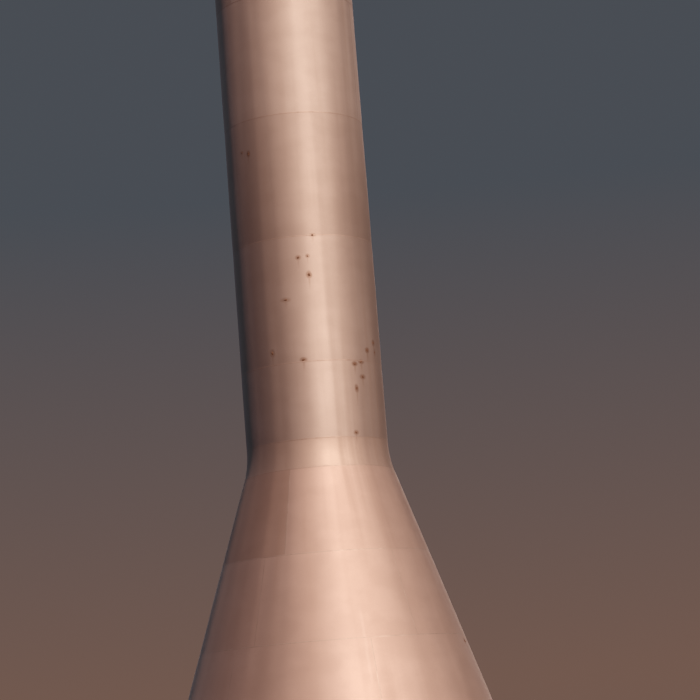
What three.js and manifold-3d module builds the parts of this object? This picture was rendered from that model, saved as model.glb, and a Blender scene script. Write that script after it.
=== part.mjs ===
// A single-pedestal steel water tower: a conical bell base, a plain tubular
// shaft built of rolled plate courses, a flared top cone and a spherical tank.
// Millimetres, +Z up, origin on the ground at the tower's own axis.
// The side that faces -Y is the front; the base door faces +X.
import * as THREE from 'three';
import { mergeVertices } from 'three/addons/utils/BufferGeometryUtils.js';
import Module from 'manifold-3d';

const wasm = await Module();
wasm.setup();

// ---------------------------------------------------------------- dimensions
const SEG = 36;                  // flats round every shell
const GAP = 0.3;                 // gap left at each face-to-face weld line

// concrete ring and base steel
const PLINTH_H = 200;            // concrete above the ground
const PLINTH_IN = 3200;
const PLINTH_OUT = 3960;
const PLINTH_CHAMFER = 25;
const BASE_PLATE_T = 32;
const BASE_PLATE_IN = 3500;
const BASE_PLATE_OUT = 3850;
const CHAIR_COUNT = 20;
const CHAIR_H = 330;

// bell (cone), knuckle and shaft
const SHAFT_R = 1371.6;          // 9 ft shaft
const CONE_TAN = 0.33206;        // bell side, about 18.4 degrees off plumb
const Z_APEX = 7019;             // where the cone line meets the shaft line
const KNUCKLE_R = 1750;
const Z_BELL = PLINTH_H + BASE_PLATE_T + GAP;      // foot of the bell plates
const Z_KNUCKLE = 6784;          // lower edge of the knuckle ring
const Z_SHAFT = 7334;            // upper edge of the knuckle ring
const BELL_COURSES = 4;
const SHAFT_SEAMS = [Z_SHAFT, 8805, 11243.4, 13681.8, 16120.2, 18558.6, 20997.0, 23435.4];
const T_BELL = [14, 13, 12, 12];
const T_KNUCKLE = 13;
const T_SHAFT = [12, 12, 11, 11, 10, 10, 11];

// flare and tank
const Z_FLARE = 23435.4;
const FLARE_ARC_R = 2500;
const FLARE_DEG = 46;            // lean of the top cone off plumb
const T_FLARE = 14;
const TANK_R = 5150;
const TANK_Z = 30150;            // centre of the sphere
const T_TANK = { bowl: 13, lower: 12, equator: 11, upper: 10, roof: 8 };
const TANK_JOINTS = [0, 36.0, 64.0, 116.0, 146.0, 180]; // degrees from the bottom
const TANK_STEPS = [3, 3, 4, 3, 3];  // flats up each zone

// base door, in the +X side of the bell
const DOOR_W = 1060;             // outside of the steel surround
const DOOR_Z0 = 285;
const DOOR_Z1 = 2170;
const DOOR_T = 14;               // surround plate
const DOOR_FACE = 3665;          // front plane of the surround

// ------------------------------------------------------------------ helpers
const V2 = (r, z) => new THREE.Vector2(r, z);
const rad = (d) => (d * Math.PI) / 180;

function toSolid(geometry) {
  const g = geometry.index ? geometry.toNonIndexed() : geometry.clone();
  const bare = new THREE.BufferGeometry().setAttribute('position', g.getAttribute('position'));
  const m = mergeVertices(bare, 1e-3);
  const s = new wasm.Manifold(new wasm.Mesh({
    numProp: 3,
    vertProperties: new Float32Array(m.attributes.position.array),
    triVerts: new Uint32Array(m.index.array),
  }));
  return s;
}
function toGeometry(solid) {
  const m = solid.getMesh(), n = m.numProp, v = new Float32Array(m.numVert * 3);
  for (let i = 0; i < m.numVert; i++) v.set(m.vertProperties.subarray(i * n, i * n + 3), i * 3);
  return new THREE.BufferGeometry()
    .setAttribute('position', new THREE.BufferAttribute(v, 3))
    .setIndex(new THREE.BufferAttribute(new Uint32Array(m.triVerts), 1));
}
// Revolves a closed outline of [r, z] points about Z.
function lathe(outline, seg = SEG) {
  let area = 0;
  for (let i = 0; i < outline.length; i++) {
    const [r0, z0] = outline[i], [r1, z1] = outline[(i + 1) % outline.length];
    area += r0 * z1 - r1 * z0;
  }
  const pts = (area < 0 ? [...outline].reverse() : outline).map(([r, z]) => V2(r, z));
  const onAxis = pts.some((p) => p.x === 0);
  if (onAxis) {
    // turn the list so that it starts and ends on the axis
    let k = pts.findIndex((p, i) => p.x === 0 && pts[(i + 1) % pts.length].x > 0);
    pts.push(...pts.splice(0, k));
  } else pts.push(pts[0].clone());
  return new THREE.LatheGeometry(pts, seg).rotateX(Math.PI / 2);
}
const solidLathe = (outline, seg) => toSolid(lathe(outline, seg));
function box(x0, x1, y0, y1, z0, z1) {
  return toSolid(new THREE.BoxGeometry(x1 - x0, y1 - y0, z1 - z0)
    .translate((x0 + x1) / 2, (y0 + y1) / 2, (z0 + z1) / 2));
}
// Cylinder with its axis along Z, from z0 to z1.
function post(r, z0, z1, sides = 12) {
  return toSolid(new THREE.CylinderGeometry(r, r, z1 - z0, sides).rotateX(Math.PI / 2)
    .translate(0, 0, (z0 + z1) / 2));
}
// Cylinder with its axis along X, from x0 to x1.
function bar(r, x0, x1, sides = 12) {
  return toSolid(new THREE.CylinderGeometry(r, r, x1 - x0, sides).rotateZ(-Math.PI / 2)
    .translate((x0 + x1) / 2, 0, 0));
}
const union = (list) => wasm.Manifold.union(list);
const at = (s, x, y, z) => s.translate([x, y, z]);
const turn = (s, deg) => s.rotate([0, 0, deg]);

// Outer radius of the pedestal's skin at a height.
const HALF = Math.atan(CONE_TAN);
const KT = KNUCKLE_R * Math.tan(HALF / 2);
const Z_K1 = Z_APEX + KT, Z_K0 = Z_APEX - KT * Math.cos(HALF);
function skin(z) {
  if (z >= Z_K1) return SHAFT_R;
  if (z <= Z_K0) return SHAFT_R + (Z_APEX - z) * CONE_TAN;
  return SHAFT_R + KNUCKLE_R - Math.sqrt(KNUCKLE_R ** 2 - (Z_K1 - z) ** 2);
}
// Flare: an arc from plumb to FLARE_DEG, then a straight cone to the tank.
const FA = rad(FLARE_DEG);
const FLARE_ARC_TOP = Z_FLARE + FLARE_ARC_R * Math.sin(FA);
function flareSkin(z) {
  if (z <= FLARE_ARC_TOP) return SHAFT_R + FLARE_ARC_R - Math.sqrt(FLARE_ARC_R ** 2 - (z - Z_FLARE) ** 2);
  return SHAFT_R + FLARE_ARC_R * (1 - Math.cos(FA)) + (z - FLARE_ARC_TOP) * Math.tan(FA);
}
// A shell between the skin and the skin less t, horizontal ends.
function shell(f, z0, z1, t, steps) {
  const out = [], back = [];
  for (let i = 0; i <= steps; i++) {
    const z = z0 + ((z1 - z0) * i) / steps;
    out.push([f(z), z]);
    back.unshift([f(z) - t / Math.cos(Math.atan((f(z + 1) - f(z - 1)) / 2)), z]);
  }
  return lathe([...out, ...back]);
}
// A zone of the tank's shell between two angles from the bottom.
function zone(k, t) {
  const a0 = TANK_JOINTS[k], a1 = TANK_JOINTS[k + 1], steps = TANK_STEPS[k];
  const g = (GAP / 2 / TANK_R) * (180 / Math.PI);
  const lo = a0 === 0 ? 0 : a0 + g, hi = a1 === 180 ? 180 : a1 - g;
  const out = [], back = [];
  for (let i = 0; i <= steps; i++) {
    const a = rad(lo + ((hi - lo) * i) / steps);
    const s = i === 0 && a0 === 0 ? 0 : i === steps && a1 === 180 ? 0 : Math.sin(a), c = Math.cos(a);
    out.push([TANK_R * s, TANK_Z - TANK_R * c]);
    back.unshift([(TANK_R - t) * s, TANK_Z - (TANK_R - t) * c]);
  }
  return lathe([...out, ...back]);
}
// Solid ball of the tank's outside, larger by d: it trims what sits on the tank.
function tankBall(d) {
  const deg = [0];
  TANK_STEPS.forEach((n, k) => {
    for (let i = 1; i <= n; i++) deg.push(TANK_JOINTS[k] + ((TANK_JOINTS[k + 1] - TANK_JOINTS[k]) * i) / n);
  });
  return solidLathe(deg.map((a) => [a === 0 || a === 180 ? 0 : (TANK_R + d) * Math.sin(rad(a)),
    TANK_Z - (TANK_R + d) * Math.cos(rad(a))]));
}
// Solid of the pedestal's outside, larger by d.
function pedestal(d) {
  const pts = [[0, 100]];
  const zs = [100, Z_K0];
  for (let i = 1; i < 6; i++) zs.push(Z_K0 + ((Z_K1 - Z_K0) * i) / 6);
  zs.push(Z_K1, Z_FLARE);
  for (const z of zs) pts.push([skin(z) + d, z]);
  pts.push([0, Z_FLARE]);
  return solidLathe(pts);
}
const pedestalSkin = pedestal(0.4);
const tankSkin = tankBall(0.4);

// ---------------------------------------------------------------- materials
const paint = () => new THREE.MeshStandardMaterial({ color: 0xb9a89b, metalness: 0.55, roughness: 0.55 });
const concrete = () => new THREE.MeshStandardMaterial({ color: 0xa8a49b, metalness: 0, roughness: 0.95 });
const galvanised = () => new THREE.MeshStandardMaterial({ color: 0x9a9c9b, metalness: 0.8, roughness: 0.5 });
const redGlass = () => new THREE.MeshStandardMaterial({ color: 0xa01a14, metalness: 0, roughness: 0.2 });
const darkSteel = () => new THREE.MeshStandardMaterial({ color: 0x4b4643, metalness: 0.7, roughness: 0.6 });

const tower = new THREE.Group();
function add(name, geometry, material) {
  const mesh = new THREE.Mesh(geometry, material);
  mesh.name = name;
  tower.add(mesh);
  return mesh;
}
const addSolid = (name, solid, material) => add(name, toGeometry(solid), material);

// ------------------------------------------------------------- concrete ring
add('foundation_ring', lathe([
  [PLINTH_IN, 0], [PLINTH_OUT, 0], [PLINTH_OUT, PLINTH_H - PLINTH_CHAMFER],
  [PLINTH_OUT - PLINTH_CHAMFER, PLINTH_H], [PLINTH_IN + PLINTH_CHAMFER, PLINTH_H],
  [PLINTH_IN, PLINTH_H - PLINTH_CHAMFER]]), concrete());

// ---------------------------------------------------------------- base plate
add('base_plate', lathe([
  [BASE_PLATE_IN, PLINTH_H + GAP], [BASE_PLATE_OUT, PLINTH_H + GAP],
  [BASE_PLATE_OUT, PLINTH_H + BASE_PLATE_T], [BASE_PLATE_IN, PLINTH_H + BASE_PLATE_T]]), paint());

// Anchor chairs: a continuous top ring on pairs of gussets. The ring is left
// out across the door.
{
  const z0 = Z_BELL, z1 = Z_BELL + CHAIR_H, edge = BASE_PLATE_OUT - 20;
  const side = new THREE.Shape();
  side.moveTo(skin(z0) + 0.8, z0);
  side.lineTo(edge - 12, z0);
  side.lineTo(edge - 12, z1 - 20);
  side.lineTo(skin(z1 - 20) + 0.8, z1 - 20);
  side.closePath();
  const gusset = toSolid(new THREE.ExtrudeGeometry(side, { depth: 16, steps: 1, bevelEnabled: false })
    .translate(0, 0, -8).rotateX(Math.PI / 2));
  const pieces = [solidLathe([[skin(z1 - 24) + 0.8, z1 - 24], [edge, z1 - 24], [edge, z1], [skin(z1) + 0.8, z1]])];
  for (let i = 0; i < CHAIR_COUNT; i++) {
    const deg = (360 / CHAIR_COUNT) * (i + 0.5);
    for (const y of [-62, 62]) pieces.push(turn(at(gusset, 0, y, 0), deg));
  }
  const chairs = union(pieces).subtract(box(2500, 4400, -DOOR_W / 2 - 130, DOOR_W / 2 + 130, 0, 3000));
  addSolid('anchor_chairs', chairs, paint());
}

// --------------------------------------------------------------- bell plates
const doorHole = box(2000, 4600, -DOOR_W / 2 - 0.4, DOOR_W / 2 + 0.4, DOOR_Z0 - 0.4, DOOR_Z1 + 0.4);
const bellStep = (Z_KNUCKLE - Z_BELL) / BELL_COURSES;
for (let i = 0; i < BELL_COURSES; i++) {
  const z0 = Z_BELL + bellStep * i, z1 = Z_BELL + bellStep * (i + 1) - GAP;
  const g = shell(skin, z0, z1, T_BELL[i], 1);
  if (z0 < DOOR_Z1) addSolid('bell_course_' + (i + 1), toSolid(g).subtract(doorHole), paint());
  else add('bell_course_' + (i + 1), g, paint());
}
add('bell_knuckle', shell(skin, Z_KNUCKLE, Z_SHAFT - GAP, T_KNUCKLE, 3), paint());

// -------------------------------------------------------------- shaft cans
const MANWAY_DEG = 0, MANWAY_Z = 22350, MANWAY_R = 305;
const manwayHole = turn(at(bar(MANWAY_R + 0.4, 0, 2200, 20), 0, 0, MANWAY_Z), MANWAY_DEG);
for (let i = 0; i < SHAFT_SEAMS.length - 1; i++) {
  const g = shell(skin, SHAFT_SEAMS[i], SHAFT_SEAMS[i + 1] - GAP, T_SHAFT[i], 1);
  if (i === SHAFT_SEAMS.length - 2) addSolid('shaft_course_' + (i + 1), toSolid(g).subtract(manwayHole), paint());
  else add('shaft_course_' + (i + 1), g, paint());
}

// Painters' manway near the head of the shaft: a short neck and a bolted cover.
{
  const x1 = SHAFT_R + 150;
  let neck = bar(MANWAY_R, 1340, x1, 20).subtract(bar(MANWAY_R - 10, 1200, x1 + 50, 20));
  const flange = bar(MANWAY_R + 60, x1 - 14, x1, 20).subtract(bar(MANWAY_R - 10, 1200, x1 + 50, 20));
  neck = neck.add(flange);
  addSolid('manway_neck', turn(at(neck, 0, 0, MANWAY_Z), MANWAY_DEG), paint());
  const cover = [bar(MANWAY_R + 60, x1 + GAP, x1 + 14, 20)];
  cover.push(at(box(x1 + 10, x1 + 62, -90, 90, -9, 9).subtract(box(x1 + 13, x1 + 46, -72, 72, -30, 30)), 0, 0, 0));
  addSolid('manway_cover', turn(at(union(cover), 0, 0, MANWAY_Z), MANWAY_DEG), paint());
}

// Painters' rigging rail round the head of the shaft, on short lugs.
{
  const z = 23180, list = [solidLathe([[SHAFT_R + 105, z], [SHAFT_R + 117, z], [SHAFT_R + 117, z + 50], [SHAFT_R + 105, z + 50]])];
  for (let i = 0; i < 12; i++) list.push(turn(box(SHAFT_R + 0.8, SHAFT_R + 110, -6, 6, z, z + 50), 15 + 30 * i));
  addSolid('painters_rail', union(list), paint());
}

// -------------------------------------------------------------------- flare
{
  const top = 26500;
  const outline = [], back = [];
  const zs = [];
  for (let i = 0; i <= 4; i++) zs.push(Z_FLARE + ((FLARE_ARC_TOP - Z_FLARE) * i) / 4);
  add('flare_knuckle', (() => {
    for (const z of zs) { outline.push([flareSkin(z), z]); back.unshift([flareSkin(z) - T_FLARE / Math.cos(Math.atan(Math.max(0, (flareSkin(z + 1) - flareSkin(Math.max(Z_FLARE, z - 1))) / (z + 1 - Math.max(Z_FLARE, z - 1))))), z]); }
    return lathe([...outline, ...back]);
  })(), paint());
  const c0 = FLARE_ARC_TOP + GAP, t = T_FLARE / Math.cos(FA);
  const cone = solidLathe([[flareSkin(c0), c0], [flareSkin(top), top], [flareSkin(top) - t, top], [flareSkin(c0) - t, c0]]);
  // the tank sits in the cone: what lies inside the tank's skin goes
  const cut = cone.subtract(tankSkin);
  const bodies = cut.decompose().sort((a, b) => b.volume() - a.volume());
  const low = bodies.filter((b) => b.boundingBox().min[2] < c0 + 1);
  addSolid('flare_cone', low[0], paint());
}

// --------------------------------------------------------------------- tank
const ROOF = [
  { name: 'access_hatch', r: 0, deg: 0, bore: 380, high: 170 },
  { name: 'tank_manhole', r: 1350, deg: 215, bore: 305, high: 170 },
  { name: 'tank_vent', r: 1250, deg: 35, bore: 220, high: 330 },
];
add('tank_bottom_bowl', zone(0, T_TANK.bowl), paint());
add('tank_lower_zone', zone(1, T_TANK.lower), paint());
add('tank_equator_zone', zone(2, T_TANK.equator), paint());
add('tank_upper_zone', zone(3, T_TANK.upper), paint());
{
  let roof = toSolid(zone(4, T_TANK.roof));
  for (const f of ROOF) roof = roof.subtract(turn(at(post(f.bore + 0.4, TANK_Z + 3000, TANK_Z + TANK_R + 500, 20), f.r, 0, 0), f.deg));
  addSolid('tank_roof', roof, paint());
}
const domeZ = (r) => TANK_Z + Math.sqrt(TANK_R ** 2 - r ** 2);

// roof openings: necks with covers
for (const f of ROOF) {
  const z1 = domeZ(f.r) + f.high;
  const neck = post(f.bore, domeZ(f.r + f.bore) - 60, z1, 20).subtract(post(f.bore - 9, TANK_Z, z1 + 100, 20));
  addSolid(f.name + '_neck', turn(at(neck, f.r, 0, 0), f.deg), paint());
  if (f.name === 'tank_vent') {
    // mushroom cap: a shallow cone with a down-turned lip, standing on four legs
    const cap = solidLathe([[0, 150], [120, 148], [430, 60], [430, -70], [422, -70], [422, 52], [120, 138], [0, 140]], 18);
    const legs = [];
    for (let i = 0; i < 4; i++) legs.push(turn(box(f.bore - 30, f.bore + 26, -14, 14, 0, 128), 45 + 90 * i));
    const ring = solidLathe([[f.bore - 34, 0], [f.bore + 30, 0], [f.bore + 30, 10], [f.bore - 34, 10]], 18);
    let vent = union([cap, ring, ...legs]);
    addSolid('tank_vent_cap', turn(at(vent, f.r, 0, z1 + GAP), f.deg), paint());
  } else {
    const R = f.bore + 42;
    const lid = [solidLathe([[0, 62], [R * 0.5, 54], [R, 26], [R, -45], [R - 7, -45], [R - 7, 12], [R * 0.5, GAP], [0, GAP]], 18)];
    // grab handle, hinge and hasp
    lid.push(box(-110, 110, -9, 9, 40, 120).subtract(box(-92, 92, -30, 30, 10, 102)));
    lid.push(box(R - 10, R + 46, -120, 120, 2, 24));
    lid.push(box(-R - 40, -R + 10, -30, 30, -20, 12));
    addSolid(f.name + '_cover', turn(at(union(lid), f.r, 0, z1 + GAP), f.deg + (f.r ? 0 : 90)), paint());
  }
}

// Safety railing round the roof fittings, in four quadrants.
{
  const R = 2350, zd = domeZ(R), flats = 6;
  // A rail bent round the roof, as one closed ring cut into quadrants.
  const hoop = (r, z) => {
    const outline = [];
    for (let i = 0; i < 6; i++) outline.push([R + r * Math.cos(rad(60 * i)), z + r * Math.sin(rad(60 * i))]);
    return solidLathe(outline, 4 * flats);
  };
  const hoops = [hoop(22, zd + 1080), hoop(17, zd + 590), hoop(17, zd + 160)];
  for (let q = 0; q < 4; q++) {
    const corner = turn(box(GAP / 2, 3000, GAP / 2, 3000, zd - 500, zd + 1500), 90 * q);
    const list = hoops.map((h) => h.intersect(corner));
    for (let i = 0; i < 3; i++)
      list.push(turn(at(post(20, zd - 40, zd + 1080, 6), R * Math.cos(rad(7.5)), 0, 0), 90 * q + 7.5 + 37.5 * i - 0));
    addSolid('railing_quadrant_' + (q + 1), union(list).subtract(tankSkin), paint());
  }
}

// Obstruction light on a short mast.
{
  const r = 820, deg = 125, zd = domeZ(r);
  const mast = union([post(30, zd - 60, zd + 1180, 12), box(-110, 110, -110, 110, -40, 16).translate([0, 0, zd]),
    post(62, zd + 1168, zd + 1184, 16)]);
  addSolid('beacon_mast', turn(at(mast, r, 0, 0), deg).subtract(tankSkin), paint());
  const z = zd + 1184 + GAP;
  addSolid('beacon_base', turn(at(union([post(75, z, z + 26, 16), post(58, z + 20, z + 92, 16)]), r, 0, 0), deg), galvanised());
  const lens = solidLathe([[0, 0], [62, 0], [74, 10], [78, 60], [72, 110], [52, 150], [22, 172], [0, 176]], 14);
  addSolid('beacon_lens', turn(at(lens, r, 0, z + 92 + GAP), deg), redGlass());
}

// --------------------------------------------------------------------- door
{
  const h = DOOR_W / 2;
  const inner = (d) => { const z0 = 100, z1 = 4000; return solidLathe([[0, z0], [skin(z0) - d, z0], [skin(z1) - d, z1], [0, z1]]); };
  let tube = box(2500, DOOR_FACE, -h, h, DOOR_Z0, DOOR_Z1)
    .subtract(box(2400, DOOR_FACE + 100, -h + DOOR_T, h - DOOR_T, DOOR_Z0 + DOOR_T, DOOR_Z1 - DOOR_T));
  // stop behind the leaf, and a drip plate over it
  const xs = DOOR_FACE - 95;
  tube = tube.add(box(xs, xs + 10, -h + 5, h - 5, DOOR_Z0 + 5, DOOR_Z1 - 5)
    .subtract(box(xs - 50, xs + 60, -h + 55, h - 55, DOOR_Z0 + 55, DOOR_Z1 - 55)));
  tube = tube.add(box(DOOR_FACE - 20, DOOR_FACE + 70, -h - 40, h + 40, DOOR_Z1 - 10, DOOR_Z1));
  tube = tube.subtract(inner(60));
  addSolid('door_surround', tube, paint());
  // leaf with three hinge barrels on its edge and a stiff perimeter
  const lw = h - DOOR_T - 4, z0 = DOOR_Z0 + DOOR_T + 4, z1 = DOOR_Z1 - DOOR_T - 4, lx = xs + 10 + GAP;
  const leaf = [box(lx, lx + 45, -lw, lw, z0, z1)];
  for (const z of [z0 + 220, (z0 + z1) / 2, z1 - 220]) {
    leaf.push(at(post(13, z - 60, z + 60, 10), lx + 55, -lw + 22, 0));
    leaf.push(box(lx + 40, lx + 51, -lw + 22, -lw + 150, z - 45, z + 45));
  }
  addSolid('door_leaf', union(leaf), paint());
  // lever handle with its back plate
  const hx = lx + 45 + GAP, hz = 1330, hy = lw - 95;
  const handle = union([
    box(hx, hx + 8, hy - 26, hy + 26, hz - 120, hz + 110),
    at(bar(13, hx, hx + 52, 10), 0, hy, hz),
    box(hx + 38, hx + 54, hy - 140, hy + 12, hz - 11, hz + 11),
    at(bar(18, hx, hx + 16, 12), 0, hy, hz + 72),
  ]);
  addSolid('door_handle', handle, galvanised());
}

// ----------------------------------------------------------- overflow outlet
{
  const deg = 180, R = 109.5, z = 1150, xIn = 3150, xOut = 4170, bend = 230, foot = 430, n = 10, turns = 4;
  const section = new THREE.Shape(), hole = new THREE.Path();
  for (let i = 0; i < n; i++) {
    const c = Math.cos((2 * Math.PI * i) / n), k = Math.sin((2 * Math.PI * i) / n);
    section[i ? 'lineTo' : 'moveTo'](R * c, R * k);
    hole[i ? 'lineTo' : 'moveTo']((R - 8) * c, (R - 8) * k);
  }
  section.closePath(); hole.closePath();
  section.holes.push(hole);
  // straight out through the wall, a quarter bend, then down: one step for each
  // straight and some for the bend
  class Route extends THREE.Curve {
    place(t) {
      const k = t * (turns + 2);
      const u = Math.min(Math.max(k - 1, 0), turns) / turns * (Math.PI / 2);
      const run = Math.min(k, 1) * (xOut - bend - xIn), drop = Math.max(k - turns - 1, 0) * (z - bend - foot);
      return { u, x: xIn + run + bend * Math.sin(u), z: z - bend + bend * Math.cos(u) - drop };
    }
    getPoint(t) { const p = this.place(t); return new THREE.Vector3(p.x, 0, p.z); }
    getTangent(t) { const { u } = this.place(t); return new THREE.Vector3(Math.cos(u), 0, -Math.sin(u)); }
    getUtoTmapping(u) { return u; }
  }
  const pipe = toSolid(new THREE.ExtrudeGeometry(section, { steps: turns + 2, extrudePath: new Route(), bevelEnabled: false }));
  const flange = at(post(R + 50, foot, foot + 16, 16).subtract(post(R - 4, foot - 30, foot + 60, 16)), xOut, 0, 0);
  addSolid('overflow_pipe', turn(pipe.add(flange), deg), paint());
  const flap = union([post(R + 50, foot - 14, foot - GAP, 16), box(R + 30, R + 84, -40, 40, foot - 12, foot - 4)]);
  addSolid('overflow_flap', turn(at(flap, xOut, 0, 0), deg), galvanised());
  // hole through the bell for the pipe
  const hole2 = turn(at(bar(R + 1.5, 2800, 3900, 20), 0, 0, z), deg);
  const course = tower.children.find((m) => m.name === 'bell_course_1');
  course.geometry = toGeometry(toSolid(course.geometry).subtract(hole2));
}

export default tower;
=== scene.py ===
import math
import random

import bmesh
import bpy
import numpy as np
from mathutils import Matrix, Vector


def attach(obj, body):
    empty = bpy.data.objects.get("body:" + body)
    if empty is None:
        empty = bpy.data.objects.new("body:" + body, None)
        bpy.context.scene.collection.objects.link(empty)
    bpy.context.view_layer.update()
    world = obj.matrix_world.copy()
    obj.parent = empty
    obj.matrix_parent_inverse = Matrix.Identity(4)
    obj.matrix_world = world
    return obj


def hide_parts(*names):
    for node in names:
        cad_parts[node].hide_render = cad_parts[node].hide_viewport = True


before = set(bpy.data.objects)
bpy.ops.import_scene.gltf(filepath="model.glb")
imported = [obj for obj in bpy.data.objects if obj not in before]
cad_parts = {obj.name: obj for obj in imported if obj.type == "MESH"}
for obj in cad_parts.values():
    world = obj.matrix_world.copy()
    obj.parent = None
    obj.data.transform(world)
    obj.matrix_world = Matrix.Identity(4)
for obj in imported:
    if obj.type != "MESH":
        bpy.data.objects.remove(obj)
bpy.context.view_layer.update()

TAU = 2 * math.pi
rad = math.radians
scene = bpy.context.scene

# ------------------------------------------------------------------ dimensions
# Metres, the same values as the construction.
SHAFT_R = 1.3716
CONE_TAN = 0.33206
Z_APEX = 7.019
KNUCKLE_R = 1.75
HALF = math.atan(CONE_TAN)
KT = KNUCKLE_R * math.tan(HALF / 2)
Z_K1, Z_K0 = Z_APEX + KT, Z_APEX - KT * math.cos(HALF)
Z_BELL = 0.2323
Z_KNUCKLE, Z_SHAFT = 6.784, 7.334
SHAFT_SEAMS = [7.334, 8.805, 11.2434, 13.6818, 16.1202, 18.5586, 20.997, 23.4354]
Z_FLARE = 23.4354
FLARE_ARC_R, FA = 2.5, rad(46)
FLARE_ARC_TOP = Z_FLARE + FLARE_ARC_R * math.sin(FA)
TANK_R, TANK_Z = 5.15, 30.15
TANK_JOINTS = [0, 36.0, 64.0, 116.0, 146.0, 180]
PLINTH_H, PLINTH_IN, PLINTH_OUT = 0.2, 3.2, 3.96
BASE_IN, BASE_OUT, BASE_T = 3.5, 3.85, 0.032
CHAIR_H, CHAIRS = 0.33, 20
DOOR_W, DOOR_Z0, DOOR_Z1, DOOR_T, DOOR_FACE = 1.06, 0.285, 2.17, 0.014, 3.665
MANWAY_Z, MANWAY_R = 22.35, 0.305


def skin(z):
    if z >= Z_K1:
        return SHAFT_R
    if z <= Z_K0:
        return SHAFT_R + (Z_APEX - z) * CONE_TAN
    return SHAFT_R + KNUCKLE_R - math.sqrt(KNUCKLE_R ** 2 - (Z_K1 - z) ** 2)


def flare(z):
    if z <= FLARE_ARC_TOP:
        return SHAFT_R + FLARE_ARC_R - math.sqrt(max(0.0, FLARE_ARC_R ** 2 - (z - Z_FLARE) ** 2))
    return SHAFT_R + FLARE_ARC_R * (1 - math.cos(FA)) + (z - FLARE_ARC_TOP) * math.tan(FA)


def dome(r):
    return TANK_Z + math.sqrt(TANK_R ** 2 - r ** 2)


# --------------------------------------------------------------------- camera
CAM = Vector((0.0, -42.3863, 1.779))
PITCH, YAW, ROLL, FOCAL = rad(9.9262), rad(1.0535), rad(4.5063), 2200.0
FWD = Vector((math.sin(YAW) * math.cos(PITCH), math.cos(YAW) * math.cos(PITCH), math.sin(PITCH)))
RIGHT = Vector((math.cos(YAW), -math.sin(YAW), 0.0))
UP = RIGHT.cross(FWD)
R2 = RIGHT * math.cos(ROLL) - UP * math.sin(ROLL)
U2 = UP * math.cos(ROLL) + RIGHT * math.sin(ROLL)
cam = bpy.data.objects.new("camera", bpy.data.cameras.new("camera"))
scene.collection.objects.link(cam)
cam.data.sensor_fit = "HORIZONTAL"
cam.data.sensor_width = 36.0
cam.data.lens = 36.0 * FOCAL / 700.0
cam.data.clip_start, cam.data.clip_end = 0.5, 2000.0
cam.matrix_world = Matrix((
    (R2.x, U2.x, -FWD.x, CAM.x),
    (R2.y, U2.y, -FWD.y, CAM.y),
    (R2.z, U2.z, -FWD.z, CAM.z),
    (0, 0, 0, 1)))
scene.camera = cam


def on_skin(px, py):
    """The angle and height where the photograph's line of sight meets the pedestal."""
    d = (FWD + R2 * ((px - 350) / FOCAL) + U2 * ((350 - py) / FOCAL)).normalized()
    t, best = 36.0, None
    while t < 46.0:
        p = CAM + d * t
        if math.hypot(p.x, p.y) <= skin(p.z):
            best = p
            break
        t += 0.004
    if best is None:                                   # just outside: the nearest point of the outline
        t = -(CAM.y) / d.y
        best = CAM + d * t
    return math.atan2(best.y, best.x), best.z


# ------------------------------------------------------------- smooth waviness
class Waves:
    """A seeded sum of plane waves, so that rolled plate isn't a perfect surface."""

    def __init__(self, seed, n, low, high, squash=(1, 1, 1)):
        g = np.random.default_rng(seed)
        d = g.normal(size=(n, 3)) * np.array(squash)
        d /= np.linalg.norm(d, axis=1)[:, None]
        length = g.uniform(low, high, n)
        self.k = d * (TAU / length)[:, None]
        self.a = g.uniform(0, TAU, n)
        self.w = 1 / math.sqrt(n / 2)

    def __call__(self, p):
        return np.cos(p @ self.k.T + self.a).sum(1) * self.w


BROAD = Waves(11, 22, 1.3, 3.2, (1, 1, 0.4))
PANEL = Waves(12, 26, 0.45, 0.95, (1, 1, 0.4))
FLATS = Waves(13, 24, 0.35, 0.9, (1, 1, 0.05))


# --------------------------------------------------------------- mesh assembly
def face_frame(p, d, up=(0, 0, 1)):
    """A 4x4 whose z axis lies along d, at p."""
    z = np.array(d, float); z /= np.linalg.norm(z)
    u = np.array(up, float)
    if abs(z @ u) > 0.98:
        u = np.array((1.0, 0, 0))
    x = np.cross(u, z); x /= np.linalg.norm(x)
    m = np.eye(4)
    m[:3, 0], m[:3, 1], m[:3, 2], m[:3, 3] = x, np.cross(z, x), z, p
    return m


def turned(deg):
    c, s = math.cos(rad(deg)), math.sin(rad(deg))
    m = np.eye(4); m[0, 0], m[0, 1], m[1, 0], m[1, 1] = c, -s, s, c
    return m


def moved(x, y, z):
    m = np.eye(4); m[:3, 3] = (x, y, z)
    return m


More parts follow.
